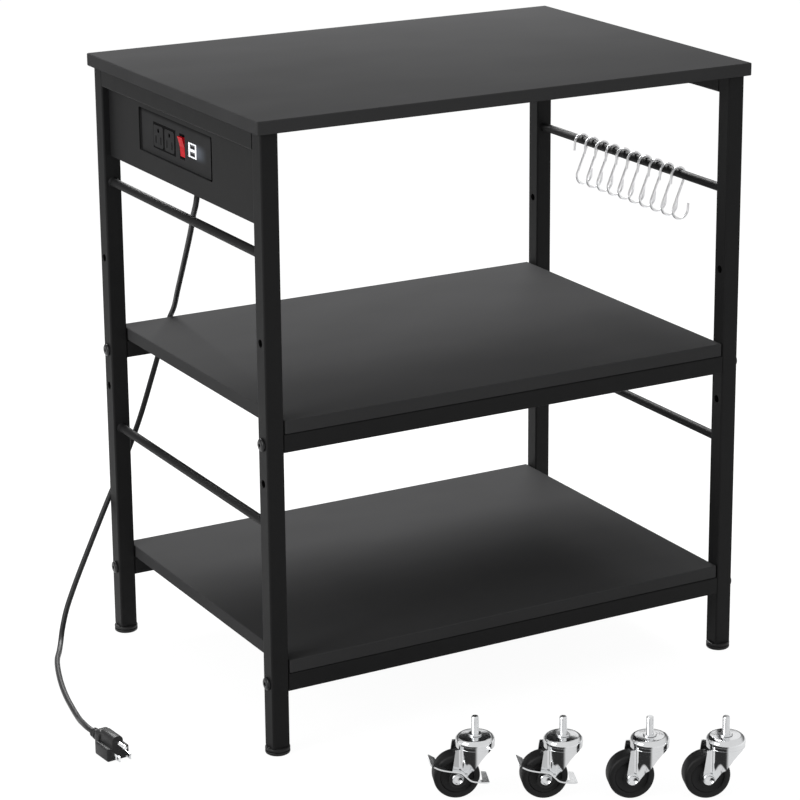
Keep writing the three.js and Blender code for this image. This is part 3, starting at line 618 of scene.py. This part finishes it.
def make_world(scene):
    """White to the camera, and to everything else the sky with its dim rear and bright card."""
    world = bpy.data.worlds.new("studio")
    scene.world = world
    tree = Tree(world)
    way = tree.add("ShaderNodeTexCoord", output="Generated")
    dim = tree.band(along(tree, way, REAR_WAY), *REAR_EDGE)
    dim = dim * (1 - tree.band(along(tree, way, UP), *REAR_TOP_EDGE))
    card = tree.band(along(tree, way, BRIGHT_CARD_WAY), *BRIGHT_CARD_EDGE)
    glow = (SKY_LIGHT - dim * REAR_DIM) * (1 - card) + card * BRIGHT_CARD_LIGHT
    seen = tree.add("ShaderNodeLightPath", output="Is Camera Ray")
    sky = tree.add("ShaderNodeBackground", sockets={
        "Color": (1, 1, 1, 1), "Strength": seen + (1 - seen) * glow})
    tree.add("ShaderNodeOutputWorld", sockets={"Surface": sky})


class CART_OT_stage(bpy.types.Operator):
    """Set the camera, the white floor, the world and the soft lamps"""

    bl_idname = "cart.stage"
    bl_label = "Studio"

    def execute(self, context):
        set_camera(context.scene)
        make_floor(context.scene)
        make_world(context.scene)
        for lamp in LAMPS:
            soft_lamp(*lamp, CART @ Vector(LAMPS_AIM))
        context.scene.view_settings.view_transform = "Standard"
        return {"FINISHED"}


# ---- Mains cord and plug


def smooth_route(points, steps):
    """Points on a centripetal Catmull-Rom curve through the given ones, ends included."""
    points = [Vector(point) for point in points]
    points = [2 * points[0] - points[1], *points, 2 * points[-1] - points[-2]]
    route = []
    for p0, p1, p2, p3 in zip(points, points[1:], points[2:], points[3:]):
        t0 = 0.0
        t1 = t0 + math.sqrt((p1 - p0).length)
        t2 = t1 + math.sqrt((p2 - p1).length)
        t3 = t2 + math.sqrt((p3 - p2).length)
        for step in range(steps):
            t = t1 + (t2 - t1) * step / steps
            a1 = p0 * ((t1 - t) / (t1 - t0)) + p1 * ((t - t0) / (t1 - t0))
            a2 = p1 * ((t2 - t) / (t2 - t1)) + p2 * ((t - t1) / (t2 - t1))
            a3 = p2 * ((t3 - t) / (t3 - t2)) + p3 * ((t - t2) / (t3 - t2))
            b1 = a1 * ((t2 - t) / (t2 - t0)) + a2 * ((t - t0) / (t2 - t0))
            b2 = a2 * ((t3 - t) / (t3 - t1)) + a3 * ((t - t1) / (t3 - t1))
            route.append(b1 * ((t2 - t) / (t2 - t1)) + b2 * ((t - t1) / (t2 - t1)))
    route.append(points[-2])
    return route


def rounded_section(width, tall, radius, lift, steps=5):
    """A rounded rectangle in X and Y, its lower edge at height lift."""
    points = []
    for k, (sx, sy) in enumerate(((1, 1), (-1, 1), (-1, -1), (1, -1))):
        points += arc_points(sx * (width / 2 - radius), lift + tall / 2 + sy * (tall / 2 - radius),
                             radius, k * math.pi / 2, math.pi / 2, steps)
    return points


def loft(bm, section, levels, matrix, finish=0):
    """Skins one section at several depths. Each level is (depth, inset from the section)."""
    cx = sum(x for x, _ in section) / len(section)
    cy = sum(y for _, y in section) / len(section)
    wide = max(abs(x - cx) for x, _ in section)
    tall = max(abs(y - cy) for _, y in section)
    rings = [[Vector((cx + (x - cx) * (1 - inset / wide), cy + (y - cy) * (1 - inset / tall),
                      depth)) for x, y in section] for depth, inset in levels]
    skin(bm, rings, matrix, finish)


def soft_ends(start, end, round_off=1.2, steps=3):
    """Levels of a loft whose two ends are rounded off."""
    levels = []
    for step in range(steps + 1):
        angle = math.pi / 2 * step / steps
        levels.append((start + round_off * (1 - math.sin(angle)),
                       round_off * (1 - math.cos(angle))))
    levels = levels[::-1]
    mirrored = [(start + end - depth, inset) for depth, inset in levels[::-1]]
    return levels + mirrored


def humped_body(width, tall, hump, rise, lift):
    """The plug body's outline: a flat box with a rounded hump for the ground pin on top."""
    points = rounded_section(width, tall, 2, lift)
    top, half, radius = lift + tall, hump / 2, 5
    upper = [(half + 1.6, top), (half + 0.4, top + 0.5), (half, top + 1.8)]
    upper += arc_points(half - radius, top + rise - radius, radius, 0, math.pi / 2, 6)
    upper += [(-x, y) for x, y in upper[::-1]]
    corner = len(points) // 4
    return points[:corner] + upper + points[corner:]


class CART_OT_cord(bpy.types.Operator):
    """Make the mains cord and its grounded plug"""

    bl_idname = "cart.cord"
    bl_label = "Cord and plug"

    def execute(self, context):
        sizes, finishes = context.scene.cart_sizes, context.scene.cart_finishes
        rubber = moulded_plastic("cord sheath", finishes.rubber, 0.40, 700)
        pins = bright_plate("pin plating", finishes.plating, 0.10)
        plug = self.make_plug(rubber, pins)
        route = [CART @ point for point in smooth_route(CORD_ROUTE, steps=8)]
        cord = open_curve("mains_cord", route)
        context.scene.collection.objects.link(cord)
        cord.data.bevel_depth = sizes.cord_radius
        cord.data.bevel_resolution = 5
        cord.data.use_fill_caps = True
        cord.data.materials.append(rubber)
        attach(cord, "cart")
        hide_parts("power_cord")
        length = sum((b - a).length for a, b in zip(route, route[1:]))
        return {"FINISHED"}

    def make_plug(self, rubber, pins):
        """The plug from the cord's end on: ribbed relief, neck, body with its blades and pin."""
        place = CART @ Matrix.Translation(PLUG_TIP) @ Matrix.Rotation(PLUG_HEADING, 4, "Z")
        place = place @ Matrix.Rotation(math.pi / 2, 4, "X")
        bm = bmesh.new()
        floor, neck_start, relief_end, body_start, body_end = -12.2, 17, 19, 26, 53
        core, rib_pitch = 4.7, 5.67
        profile = [(3.6, 0.0)]
        for rib in range(3):
            radius, at = 5.3 + 0.5 * rib, rib * rib_pitch
            profile += [(radius - 0.6, at), (radius, at + 0.6), (radius, at + 2.9),
                        (radius - 0.5, at + 3.4), (core, at + 3.6), (core, at + 5.5)]
        profile += [(core, relief_end), (3, relief_end)]
        lathe(bm, profile, 32, place)
        neck = rounded_section(17, 22.3, 5, floor + 1.5)
        loft(bm, neck, soft_ends(neck_start, body_start + 1, 1.6), place)
        body = humped_body(26, 14.5, 13.4, 11.8, floor)
        loft(bm, body, soft_ends(body_start, body_end), place)
        blade_x, blade_y, blade_thick, blade_tall, tip = 6.35, floor + 7.85, 1.5, 6.3, 69.4
        for side in (-1, 1):
            blade = rounded_section(blade_thick, blade_tall, 0.3, blade_y - blade_tall / 2, 2)
            shift = Matrix.Translation((side * blade_x, 0, 0))
            loft(bm, blade, ((body_end - 1, 0), (tip - 1.2, 0), (tip, 0.3)), place @ shift, 1)
            hole = Matrix.Translation((side * blade_x, blade_y, 65.3))
            lathe(bm, [(1.5, -0.85), (1.5, 0.85)], 16,
                  place @ hole @ Matrix.Rotation(math.pi / 2, 4, "Y"))
        pin, pin_end = 2.4, 69.1
        profile = [(pin, body_end - 1), (pin, pin_end)]
        profile += [(pin * math.cos(a), pin_end + pin * math.sin(a)) for a in (0.4, 0.8, 1.2, 1.5)]
        lathe(bm, profile, 24, place @ Matrix.Translation((0, blade_y + 11.9, 0)), 1)
        return make_piece("mains_plug", bm, "cart", (rubber, pins), ("plug",))


# ---- Boards and the screws that hold them


# Screws go up through the shelves' rails and the top's side rails.
SHELF_SCREWS_X = (-174, 170)
TOP_SCREWS_Y = (-120, 120)


class CART_OT_boards(bpy.types.Operator):
    """Finish the three boards and set the screws under them"""

    bl_idname = "cart.boards"
    bl_label = "Boards"

    def execute(self, context):
        finishes = context.scene.cart_finishes
        dress(board_laminate(finishes.laminate), "top_board", "middle_shelf", "bottom_shelf")
        steel = moulded_plastic("blackened steel", finishes.fastener, 0.30)
        bm = bmesh.new()
        lathe(bm, [(3.6, -0.1), (3.6, 0.8), (3.0, 1.9), (1.9, 2.5), (1.2, 2.5), (1.2, 1.5)],
              24, Matrix.Scale(MM, 4))
        down = (0, 0, -1)
        places = [((x, y, low.z), down) for low, _ in RAILS for y in (-LEG_Y, LEG_Y)
                  for x in SHELF_SCREWS_X]
        places += [((x, y, TOP_RAIL_BOTTOM), down) for x in (-LEG_X, LEG_X)
                   for y in TOP_SCREWS_Y]
        fasteners("board_screws", bm, places, steel)
        return {"FINISHED"}


# ---- Frame


class CART_OT_frame(bpy.types.Operator):
    """Paint the frame and make its round rods with their weld beads"""

    bl_idname = "cart.frame"
    bl_label = "Frame"

    def execute(self, context):
        sizes, finishes = context.scene.cart_sizes, context.scene.cart_finishes
        paint = powder_coat(finishes.paint)
        names = [f"leg_{row}_{side}" for row, _ in ROWS for side, _ in SIDES]
        names += [f"{shelf}_rail_{row}" for shelf in SHELVES for row, _ in ROWS]
        names += ["top_rail_left", "top_rail_right", "outlet_panel"]
        dress(paint, *names)
        recipe = wire_recipe()
        for level, (low, high) in RODS.items():
            for side, sx in SIDES:
                ends = [CART @ Vector((sx * LEG_X, y, ROD_HEIGHTS[level]))
                        for y in (low.y, high.y)]
                mesh = recipe.run(open_curve("rod", ends), {
                    "Radius": sizes.rod_radius, "Sides": sizes.round_sides // 2,
                    "Finish": paint})
                settle(f"side_rod_{level}_{side}", mesh, "cart", (paint,),
                       (f"{level}_rod_{side}",))
        bm = bmesh.new()
        bead = [(4.7, 0.1), (6.2, 0.1), (5.9, 0.6), (5.3, 1.1), (4.7, 1.9)]
        for height in ROD_HEIGHTS.values():
            for _, sx in SIDES:
                for _, sy in ROWS:
                    place = CART @ Matrix.Translation((sx * LEG_X, sy * LEG_LOW.y, height))
                    place = place @ Matrix.Rotation(sy * math.pi / 2, 4, "X")
                    lathe(bm, bead, 32, place, loop=True)
        make_piece("rod_welds", bm, "cart", (paint,))
        return {"FINISHED"}


class CART_OT_bolts(bpy.types.Operator):
    """Set the eight button-head bolts"""

    bl_idname = "cart.bolts"
    bl_label = "Frame bolts"

    def execute(self, context):
        sizes, finishes = context.scene.cart_sizes, context.scene.cart_finishes
        black = moulded_plastic("bolt black", finishes.fastener, 0.24)
        head, shank, rim, dome, sides = sizes.bolt_head / MM, 3, 1.3, 2.1, 48
        drive_radius, drive_top, drive_floor = 2.3, 3.35, 1.4
        bm = bmesh.new()
        rings = [ring(shank, -8, sides), ring(shank, 0, sides), ring(head - 0.3, 0, sides),
                 ring(head, 0.3, sides), ring(head, rim, sides)]
        for step in range(1, 6):
            angle = math.pi / 2 * step / 6
            rings.append(ring(shank + (head - shank) * math.cos(angle),
                              rim + dome * math.sin(angle), sides))
        hexagon = [Vector((point.x * self.drive(k, sides), point.y * self.drive(k, sides), point.z))
                   for k, point in enumerate(ring(drive_radius, drive_top, sides))]
        rings.append(hexagon)
        rings.append([Vector((point.x * 0.96, point.y * 0.96, drive_floor)) for point in hexagon])
        skin(bm, rings, Matrix.Scale(MM, 4))
        places = [((sx * (LEG_HIGH.x + 0.3), sy * LEG_Y, (low.z + high.z) / 2), (sx, 0, 0))
                  for low, high in RAILS for _, sy in ROWS for _, sx in SIDES]
        replaced = [f"bolt_{shelf}_{row}_{side}" for shelf in SHELVES for row, _ in ROWS
                    for side, _ in SIDES]
        fasteners("frame_bolts", bm, places, black, replaced)
        return {"FINISHED"}

    @staticmethod
    def drive(k, sides):
        """The share of its radius at which a ring's point lies on the flat of a hexagon."""
        angle = (2 * math.pi * k / sides) % (math.pi / 3) - math.pi / 6
        return math.cos(math.pi / 6) / math.cos(angle)


class CART_OT_feet(bpy.types.Operator):
    """Make the four levelling feet"""

    bl_idname = "cart.feet"
    bl_label = "Levelling feet"

    def execute(self, context):
        sizes, finishes = context.scene.cart_sizes, context.scene.cart_finishes
        plastic = moulded_plastic("foot plastic", shade(finishes.plastic, 0.35), 0.42)
        wide = sizes.foot_radius / MM
        profile = [(wide - 2.2, 0), (wide - 1.2, 0.2), (wide - 0.3, 0.9), (wide, 1.6),
                   (wide, 3.2), (wide - 0.3, 3.6), (wide - 1.3, 3.8), (wide - 1.3, 4.3),
                   (wide - 0.3, 4.5), (wide, 4.9), (wide, 6.7), (wide - 0.4, 7.5),
                   (wide - 1.4, 8.0), (4, 8.0), (4, 30)]
        for row, sy in ROWS:
            for side, sx in SIDES:
                bm = bmesh.new()
                place = CART @ Matrix.Translation((sx * LEG_X, sy * LEG_Y, 0))
                lathe(bm, profile, sizes.round_sides, place)
                make_piece(f"levelling_{row}_{side}", bm, f"foot_{row}_{side}_body",
                           (plastic,), (f"foot_{row}_{side}",))
        return {"FINISHED"}


# ---- Power unit


class CART_OT_power(bpy.types.Operator):
    """Finish the power unit, its outlets, switch and port"""

    bl_idname = "cart.power"
    bl_label = "Power unit"

    def execute(self, context):
        finishes = context.scene.cart_finishes
        dress(unit_plastic(finishes.plastic), "power_unit")
        dress(moulded_plastic("outlet plastic", finishes.plastic, 0.40, shine=0.0,
                              face=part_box("outlet_insert")[0].x), "outlet_insert")
        dress(moulded_plastic("rocker plastic", finishes.rocker, 0.26, shine=0.05),
              "rocker_switch")
        dress(glowing_port(finishes.port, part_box("usb_socket")[0].x), "usb_socket")
        return {"FINISHED"}


# ---- Wire hooks


# The hooks along the rod, and the wire's eye over it, its shank and its bowl.
HOOK_COUNT = 10
HOOK_FIRST_Y = 101
HOOK_PITCH = 22.5
HOOK_SIDES = 16
HOOK_LEAN = math.radians(19.6)
HOOK_BALANCE = math.radians(3.456)
EYE_X, EYE_PLAY, EYE_RADIUS, EYE_TAIL = -1.6, 0.6, 9.3, 9.5
SHANK = 36
BOWL_RADIUS, BOWL_TIP = 10.3, 8


def hook_points(rod, wire):
    """The hook's wire from the eye's end to the tip, about the rod, as it hangs in balance."""
    eye_z = rod + EYE_PLAY + wire - EYE_RADIUS
    points = [(EYE_X - EYE_RADIUS, eye_z - EYE_TAIL)]
    points += arc_points(EYE_X, eye_z, EYE_RADIUS, math.pi, -math.pi - HOOK_LEAN, 32)
    top_x, top_z = points[-1]
    bowl_x = top_x - SHANK * math.sin(HOOK_LEAN) + BOWL_RADIUS * math.cos(HOOK_LEAN)
    bowl_z = top_z - SHANK * math.cos(HOOK_LEAN) - BOWL_RADIUS * math.sin(HOOK_LEAN)
    points += arc_points(bowl_x, bowl_z, BOWL_RADIUS, math.pi - HOOK_LEAN, math.pi + HOOK_LEAN,
                         32)
    tip_x, tip_z = points[-1]
    points.append((tip_x, tip_z + BOWL_TIP))
    tilt = Matrix.Rotation(HOOK_BALANCE, 4, "Y")
    return [tilt @ Vector((x, 0, z)) for x, z in points]


class CART_OT_hooks(bpy.types.Operator):
    """Hang the ten wire hooks on the upper right rod"""

    bl_idname = "cart.hooks"
    bl_label = "Wire hooks"

    def execute(self, context):
        sizes, finishes = context.scene.cart_sizes, context.scene.cart_finishes
        plating = bright_plate("hook plating", finishes.wire, 0.26, 0.65)
        recipe = wire_recipe()
        wire = hook_points(sizes.rod_radius / MM, sizes.hook_wire / MM)
        for k in range(HOOK_COUNT):
            place = CART @ Matrix.Translation(
                (LEG_X, HOOK_FIRST_Y - k * HOOK_PITCH, ROD_HEIGHTS["upper"]))
            mesh = recipe.run(open_curve("wire", [place @ point for point in wire]), {
                "Radius": sizes.hook_wire, "Sides": HOOK_SIDES, "Finish": plating})
            settle(f"wire_hook_{k + 1}", mesh, f"hook_{k + 1}_body", (plating,),
                   (f"hook_{k + 1}",), sharp=50)
        return {"FINISHED"}


# ---- Casters


# Where the casters' stems stand. The first two have brakes.
CASTER_PLACES = ((-155, -390), (-78, -436), (-2, -481), (65, -520))
CASTER_HEADING = math.radians(-22)
BRAKED = 2

# One caster, about the floor point under its stem. The wheel trails towards -X. Its cheeks have
# an ear round the axle, a fold, and a sheet that bulges out to the crown's round above.
CASTER_TRAIL = 20
AXLE_HEIGHT = 24
ALONG_AXLE = Matrix.Rotation(math.pi / 2, 4, "X")
SHEET = 2
CROWN_RADIUS = 20.2
CHEEK_DEPTH = 14.2
CHEEK_TOP = 55
CHEEK_FRONT = 14.6
EAR_BACK, EAR_LONG, EAR_RADIUS, EAR_RISE = -26.4, 7.7, 6.4, 4.2
EAR_DEPTH, EAR_FLARE = 14.1, 0.5
FOLD_BACK, FOLD_FRONT, FOLD_DEPTH, FOLD_LOW = -18.6, -16.4, 13.2, 17.9
BULGE_LOW, BULGE_TALL = 30, 14
BULGE_DROP, BULGE_DROP_X, BULGE_DROP_LONG = 10, -8, 6
FRONT_EDGE = ((-16.4, 18.4), (-14.6, 19.6), (-7, 29.5), (-0.7, 38.9), (4, 45.4), (9, 50.2),
              (CHEEK_FRONT, 53.6))


def clamp(value):
    return min(1.0, max(0.0, value))


def slant(x):
    """Height of the fork's front lower edge at x."""
    for (x0, z0), (x1, z1) in zip(FRONT_EDGE, FRONT_EDGE[1:]):
        if x <= x1:
            return z0 + (z1 - z0) * max(0.0, (x - x0)) / (x1 - x0)
    return FRONT_EDGE[-1][1]


def cheek_depth(x, z):
    """How far the cheek's outer face stands from the caster's middle at (x, z)."""
    if x < FOLD_BACK:
        return EAR_DEPTH + EAR_FLARE * (x - EAR_BACK) / EAR_LONG
    if x < FOLD_FRONT:
        return FOLD_DEPTH
    start = BULGE_LOW - BULGE_DROP * clamp((x - BULGE_DROP_X) / BULGE_DROP_LONG)
    rise = clamp((z - start) / BULGE_TALL)
    bulge = max(0.0, math.sqrt(CROWN_RADIUS ** 2 - x * x) - CHEEK_DEPTH)
    return CHEEK_DEPTH + bulge * rise * rise * (3 - 2 * rise)


def cheek_columns():
    """(x, low, high) of the fork's cheek, from the ear's rear edge to the front."""
    columns = []
    for k in range(13):
        x = EAR_BACK + EAR_LONG * k / 12
        low = AXLE_HEIGHT - math.sqrt(max(0.0, EAR_RADIUS ** 2 - (x + CASTER_TRAIL) ** 2))
        high = AXLE_HEIGHT + (CHEEK_TOP - AXLE_HEIGHT) * (x - EAR_BACK) / EAR_RISE
        columns.append((x, low, min(CHEEK_TOP, high)))
    columns += [(x, FOLD_LOW, CHEEK_TOP) for x in (FOLD_BACK + 0.1, FOLD_FRONT - 0.1)]
    start = FOLD_FRONT + 0.1
    for k in range(33):
        x = start + (CHEEK_FRONT - start) * k / 32
        columns.append((x, slant(x), CHEEK_TOP))
    return columns


def at_axle(place):
    """A caster's place, moved to the middle of its axle."""
    return place @ Matrix.Translation((-CASTER_TRAIL, 0, AXLE_HEIGHT))


def make_fork(place):
    """The pressed fork: crown, two cheeks with an ear, and the axle with its hollow heads."""
    bm = bmesh.new()
    arc = [math.pi / 2 * step / 6 for step in range(7)]
    rim, rim_z = 14.8, 60
    crown = [(18.4, 54), (20.0, 54), (20.0, 58.4), (20.3, 58.7)]
    crown += [(rim + 5.5 * math.cos(a), rim_z + 5.3 * math.sin(a)) for a in arc]
    crown += [(4.5, 65.5), (4.5, 63.5)]
    crown += [(rim + 3.6 * math.cos(a), rim_z + 3.4 * math.sin(a)) for a in arc[::-1]]
    lathe(bm, crown, 96, place, loop=True)
    for side in (-1, 1):
        rings = []
        for x, low, high in cheek_columns():
            levels = [low + (high - low) * t / 12 for t in range(13)]
            face = [Vector((x, side * cheek_depth(x, z), z)) for z in levels]
            back = [Vector((x, side * (max(CHEEK_DEPTH, cheek_depth(x, z)) - SHEET), z))
                    for z in levels[::-1]]
            rings.append(face + back)
        skin(bm, rings, place)
    axle = at_axle(place) @ ALONG_AXLE
    lathe(bm, [(3.8, -12.4), (3.8, 12.4)], 32, axle)
    for side in (-1, 1):
        face = axle @ Matrix.Scale(side, 4, UP)
        lathe(bm, [(6.3, 14.0), (6.3, 15.6), (6.0, 16.3), (5.4, 16.7), (4.9, 16.6), (4.5, 16.1),
                   (3.8, 15.4), (2.8, 14.9), (1.6, 14.6), (0.4, 14.5)], 48, face)
    return bm


def make_stem(place):
    """The threaded stem with its collar above the crown and its head inside it."""
    bm = bmesh.new()
    lathe(bm, [(3.7, 60.8), (7.5, 60.8), (7.5, 63.2), (4, 63.2), (4, 65.8), (7, 65.8),
               (7, 66.7), (6.6, 67.1), (3.9, 67.1)], 48, place)
    radius, depth, pitch, start, end = 3.95, 0.28, 1.25, 67.0, 85.0
    sides, per_turn = 32, 8
    rings = []
    for level in range(int((end - start) / pitch) * per_turn + 1):
        height = start + pitch * level / per_turn
        points = []
        for k in range(sides):
            phase = (level / per_turn - k / sides) % 1.0
            out = radius - depth * abs(2 * phase - 1)
            angle = 2 * math.pi * k / sides
            points.append(Vector((out * math.cos(angle), out * math.sin(angle), height)))
        rings.append(points)
    rings += [ring(3.3, 85.7, sides), ring(2.9, 86.0, sides)]
    skin(bm, rings, place)
    return bm


def make_wheel(place, radius, sides):
    """The wheel: a rounded tread and dished faces with a raised hub."""
    bm = bmesh.new()
    half = [(4.1, 11.7), (8.0, 11.7), (8.6, 11.3), (9.2, 8.6), (11, 8.1), (15.2, 8.1),
            (16.6, 8.6), (17.4, 9.8), (18.2, 10), (radius - 2.8, 10), (radius - 1.4, 9.6),
            (radius - 0.5, 8.7), (radius, 7.2)]
    profile = half + [(r, -y) for r, y in half[::-1]]
    lathe(bm, profile, sides, at_axle(place) @ ALONG_AXLE, loop=True)
    return bm


def make_lever(place):
    """The brake lever: an S-shaped strip with a wing over the tread at each end, and a black
    round plate with a rivet on its outer side."""
    bm = bmesh.new()
    spine = smooth_route([(u, v, 0) for u, v in (
        (-28.5, 19.5), (-20, 14.4), (-11, 11.6), (-2, 9.9), (3.4, 8.3), (8.2, 3.8),
        (13.2, -0.7), (22, -3), (32, -3.9))], steps=6)
    half_thick, outer_y, inner_y, wing_wide, wing_start = 0.75, -20.4, -14.7, 21, 25.6
    count = len(spine)
    rings = []
    for k, point in enumerate(spine):
        ahead = spine[min(k + 1, count - 1)] - spine[max(k - 1, 0)]
        across = Vector((-ahead.y, 0, ahead.x)).normalized() * half_thick
        middle = Vector((point.x, 0, point.y))
        wing = clamp((math.hypot(point.x, point.y) - wing_start) / 0.6)
        inset = 1.6 * (1 - min(1.0, (k + 1) / 3, (count - k) / 3))
        outer = Vector((0, outer_y + inset, 0))
        inner = Vector((0, inner_y + wing * wing_wide - inset, 0))
        rings.append([middle + across + outer, middle + across + inner,
                      middle - across + inner, middle - across + outer])
    skin(bm, rings, at_axle(place))
    face = at_axle(place) @ ALONG_AXLE
    lathe(bm, [(6.6, 14.7), (9.2, 14.7), (9.2, 15.7), (8.9, 16.0), (6.6, 16.0)], 48, face, 1,
          loop=True)
    rivet = face @ Matrix.Translation((8.9, 3.2, 0))
    lathe(bm, [(1.7, 14.8), (1.7, 16.2), (1.3, 16.9), (0.6, 17.2)], 20, rivet)
    return bm


class CART_OT_casters(bpy.types.Operator):
    """Make the four loose casters, two of them with brakes"""

    bl_idname = "cart.casters"
    bl_label = "Casters"

    def execute(self, context):
        sizes, finishes = context.scene.cart_sizes, context.scene.cart_finishes
        plating = bright_plate("caster plating", finishes.plating, 0.08)
        tread = moulded_plastic("tread", finishes.wheel, 0.48, 900)
        black = moulded_plastic("brake plate", finishes.wheel, 0.34)
        for k, (x, y) in enumerate(CASTER_PLACES, 1):
            place = CART @ Matrix.Translation((x, y, 0))
            place = place @ Matrix.Rotation(CASTER_HEADING, 4, "Z")
            wheel = make_wheel(place, sizes.wheel_radius / MM, sizes.round_sides)
            make_piece(f"threaded_stem_{k}", make_stem(place), f"stem_{k}",
                       (plating,), (f"caster_stem_{k}",))
            make_piece(f"pressed_fork_{k}", make_fork(place), "cart",
                       (plating,), (f"caster_fork_{k}",))
            make_piece(f"tread_wheel_{k}", wheel, f"wheel_{k}", (tread,),
                       (f"caster_wheel_{k}",))
            if k <= BRAKED:
                make_piece(f"brake_lever_{k}", make_lever(place), f"pedal_{k}",
                           (plating, black), (f"brake_pedal_{k}",))
        return {"FINISHED"}


# ---- Panel and registration

OPERATORS = (CART_OT_stage, CART_OT_cord, CART_OT_boards, CART_OT_frame, CART_OT_bolts,
             CART_OT_feet, CART_OT_power, CART_OT_hooks, CART_OT_casters)


class CART_PT_build(bpy.types.Panel):
    """Lists the cart's sizes, colours and pieces"""

    bl_idname = "CART_PT_build"
    bl_label = "Microwave cart"
    bl_space_type = "VIEW_3D"
    bl_region_type = "UI"
    bl_category = "Cart"

    def draw(self, context):
        for group in (context.scene.cart_sizes, context.scene.cart_finishes):
            for name in group.__annotations__:
                self.layout.prop(group, name)
        for operator in OPERATORS:
            self.layout.operator(operator.bl_idname)


CLASSES = (CartSizes, CartFinishes, *OPERATORS, CART_PT_build)


def register():
    for cls in CLASSES:
        bpy.utils.register_class(cls)
    bpy.types.Scene.cart_sizes = PointerProperty(type=CartSizes)
    bpy.types.Scene.cart_finishes = PointerProperty(type=CartFinishes)


def unregister():
    del bpy.types.Scene.cart_finishes
    del bpy.types.Scene.cart_sizes
    for cls in reversed(CLASSES):
        bpy.utils.unregister_class(cls)


def main():
    register()
    bpy.ops.cart.stage()
    bpy.ops.cart.cord()
    bpy.ops.cart.boards()
    bpy.ops.cart.frame()
    bpy.ops.cart.bolts()
    bpy.ops.cart.feet()
    bpy.ops.cart.power()
    bpy.ops.cart.hooks()
    bpy.ops.cart.casters()


if __name__ == "__main__":
    main()
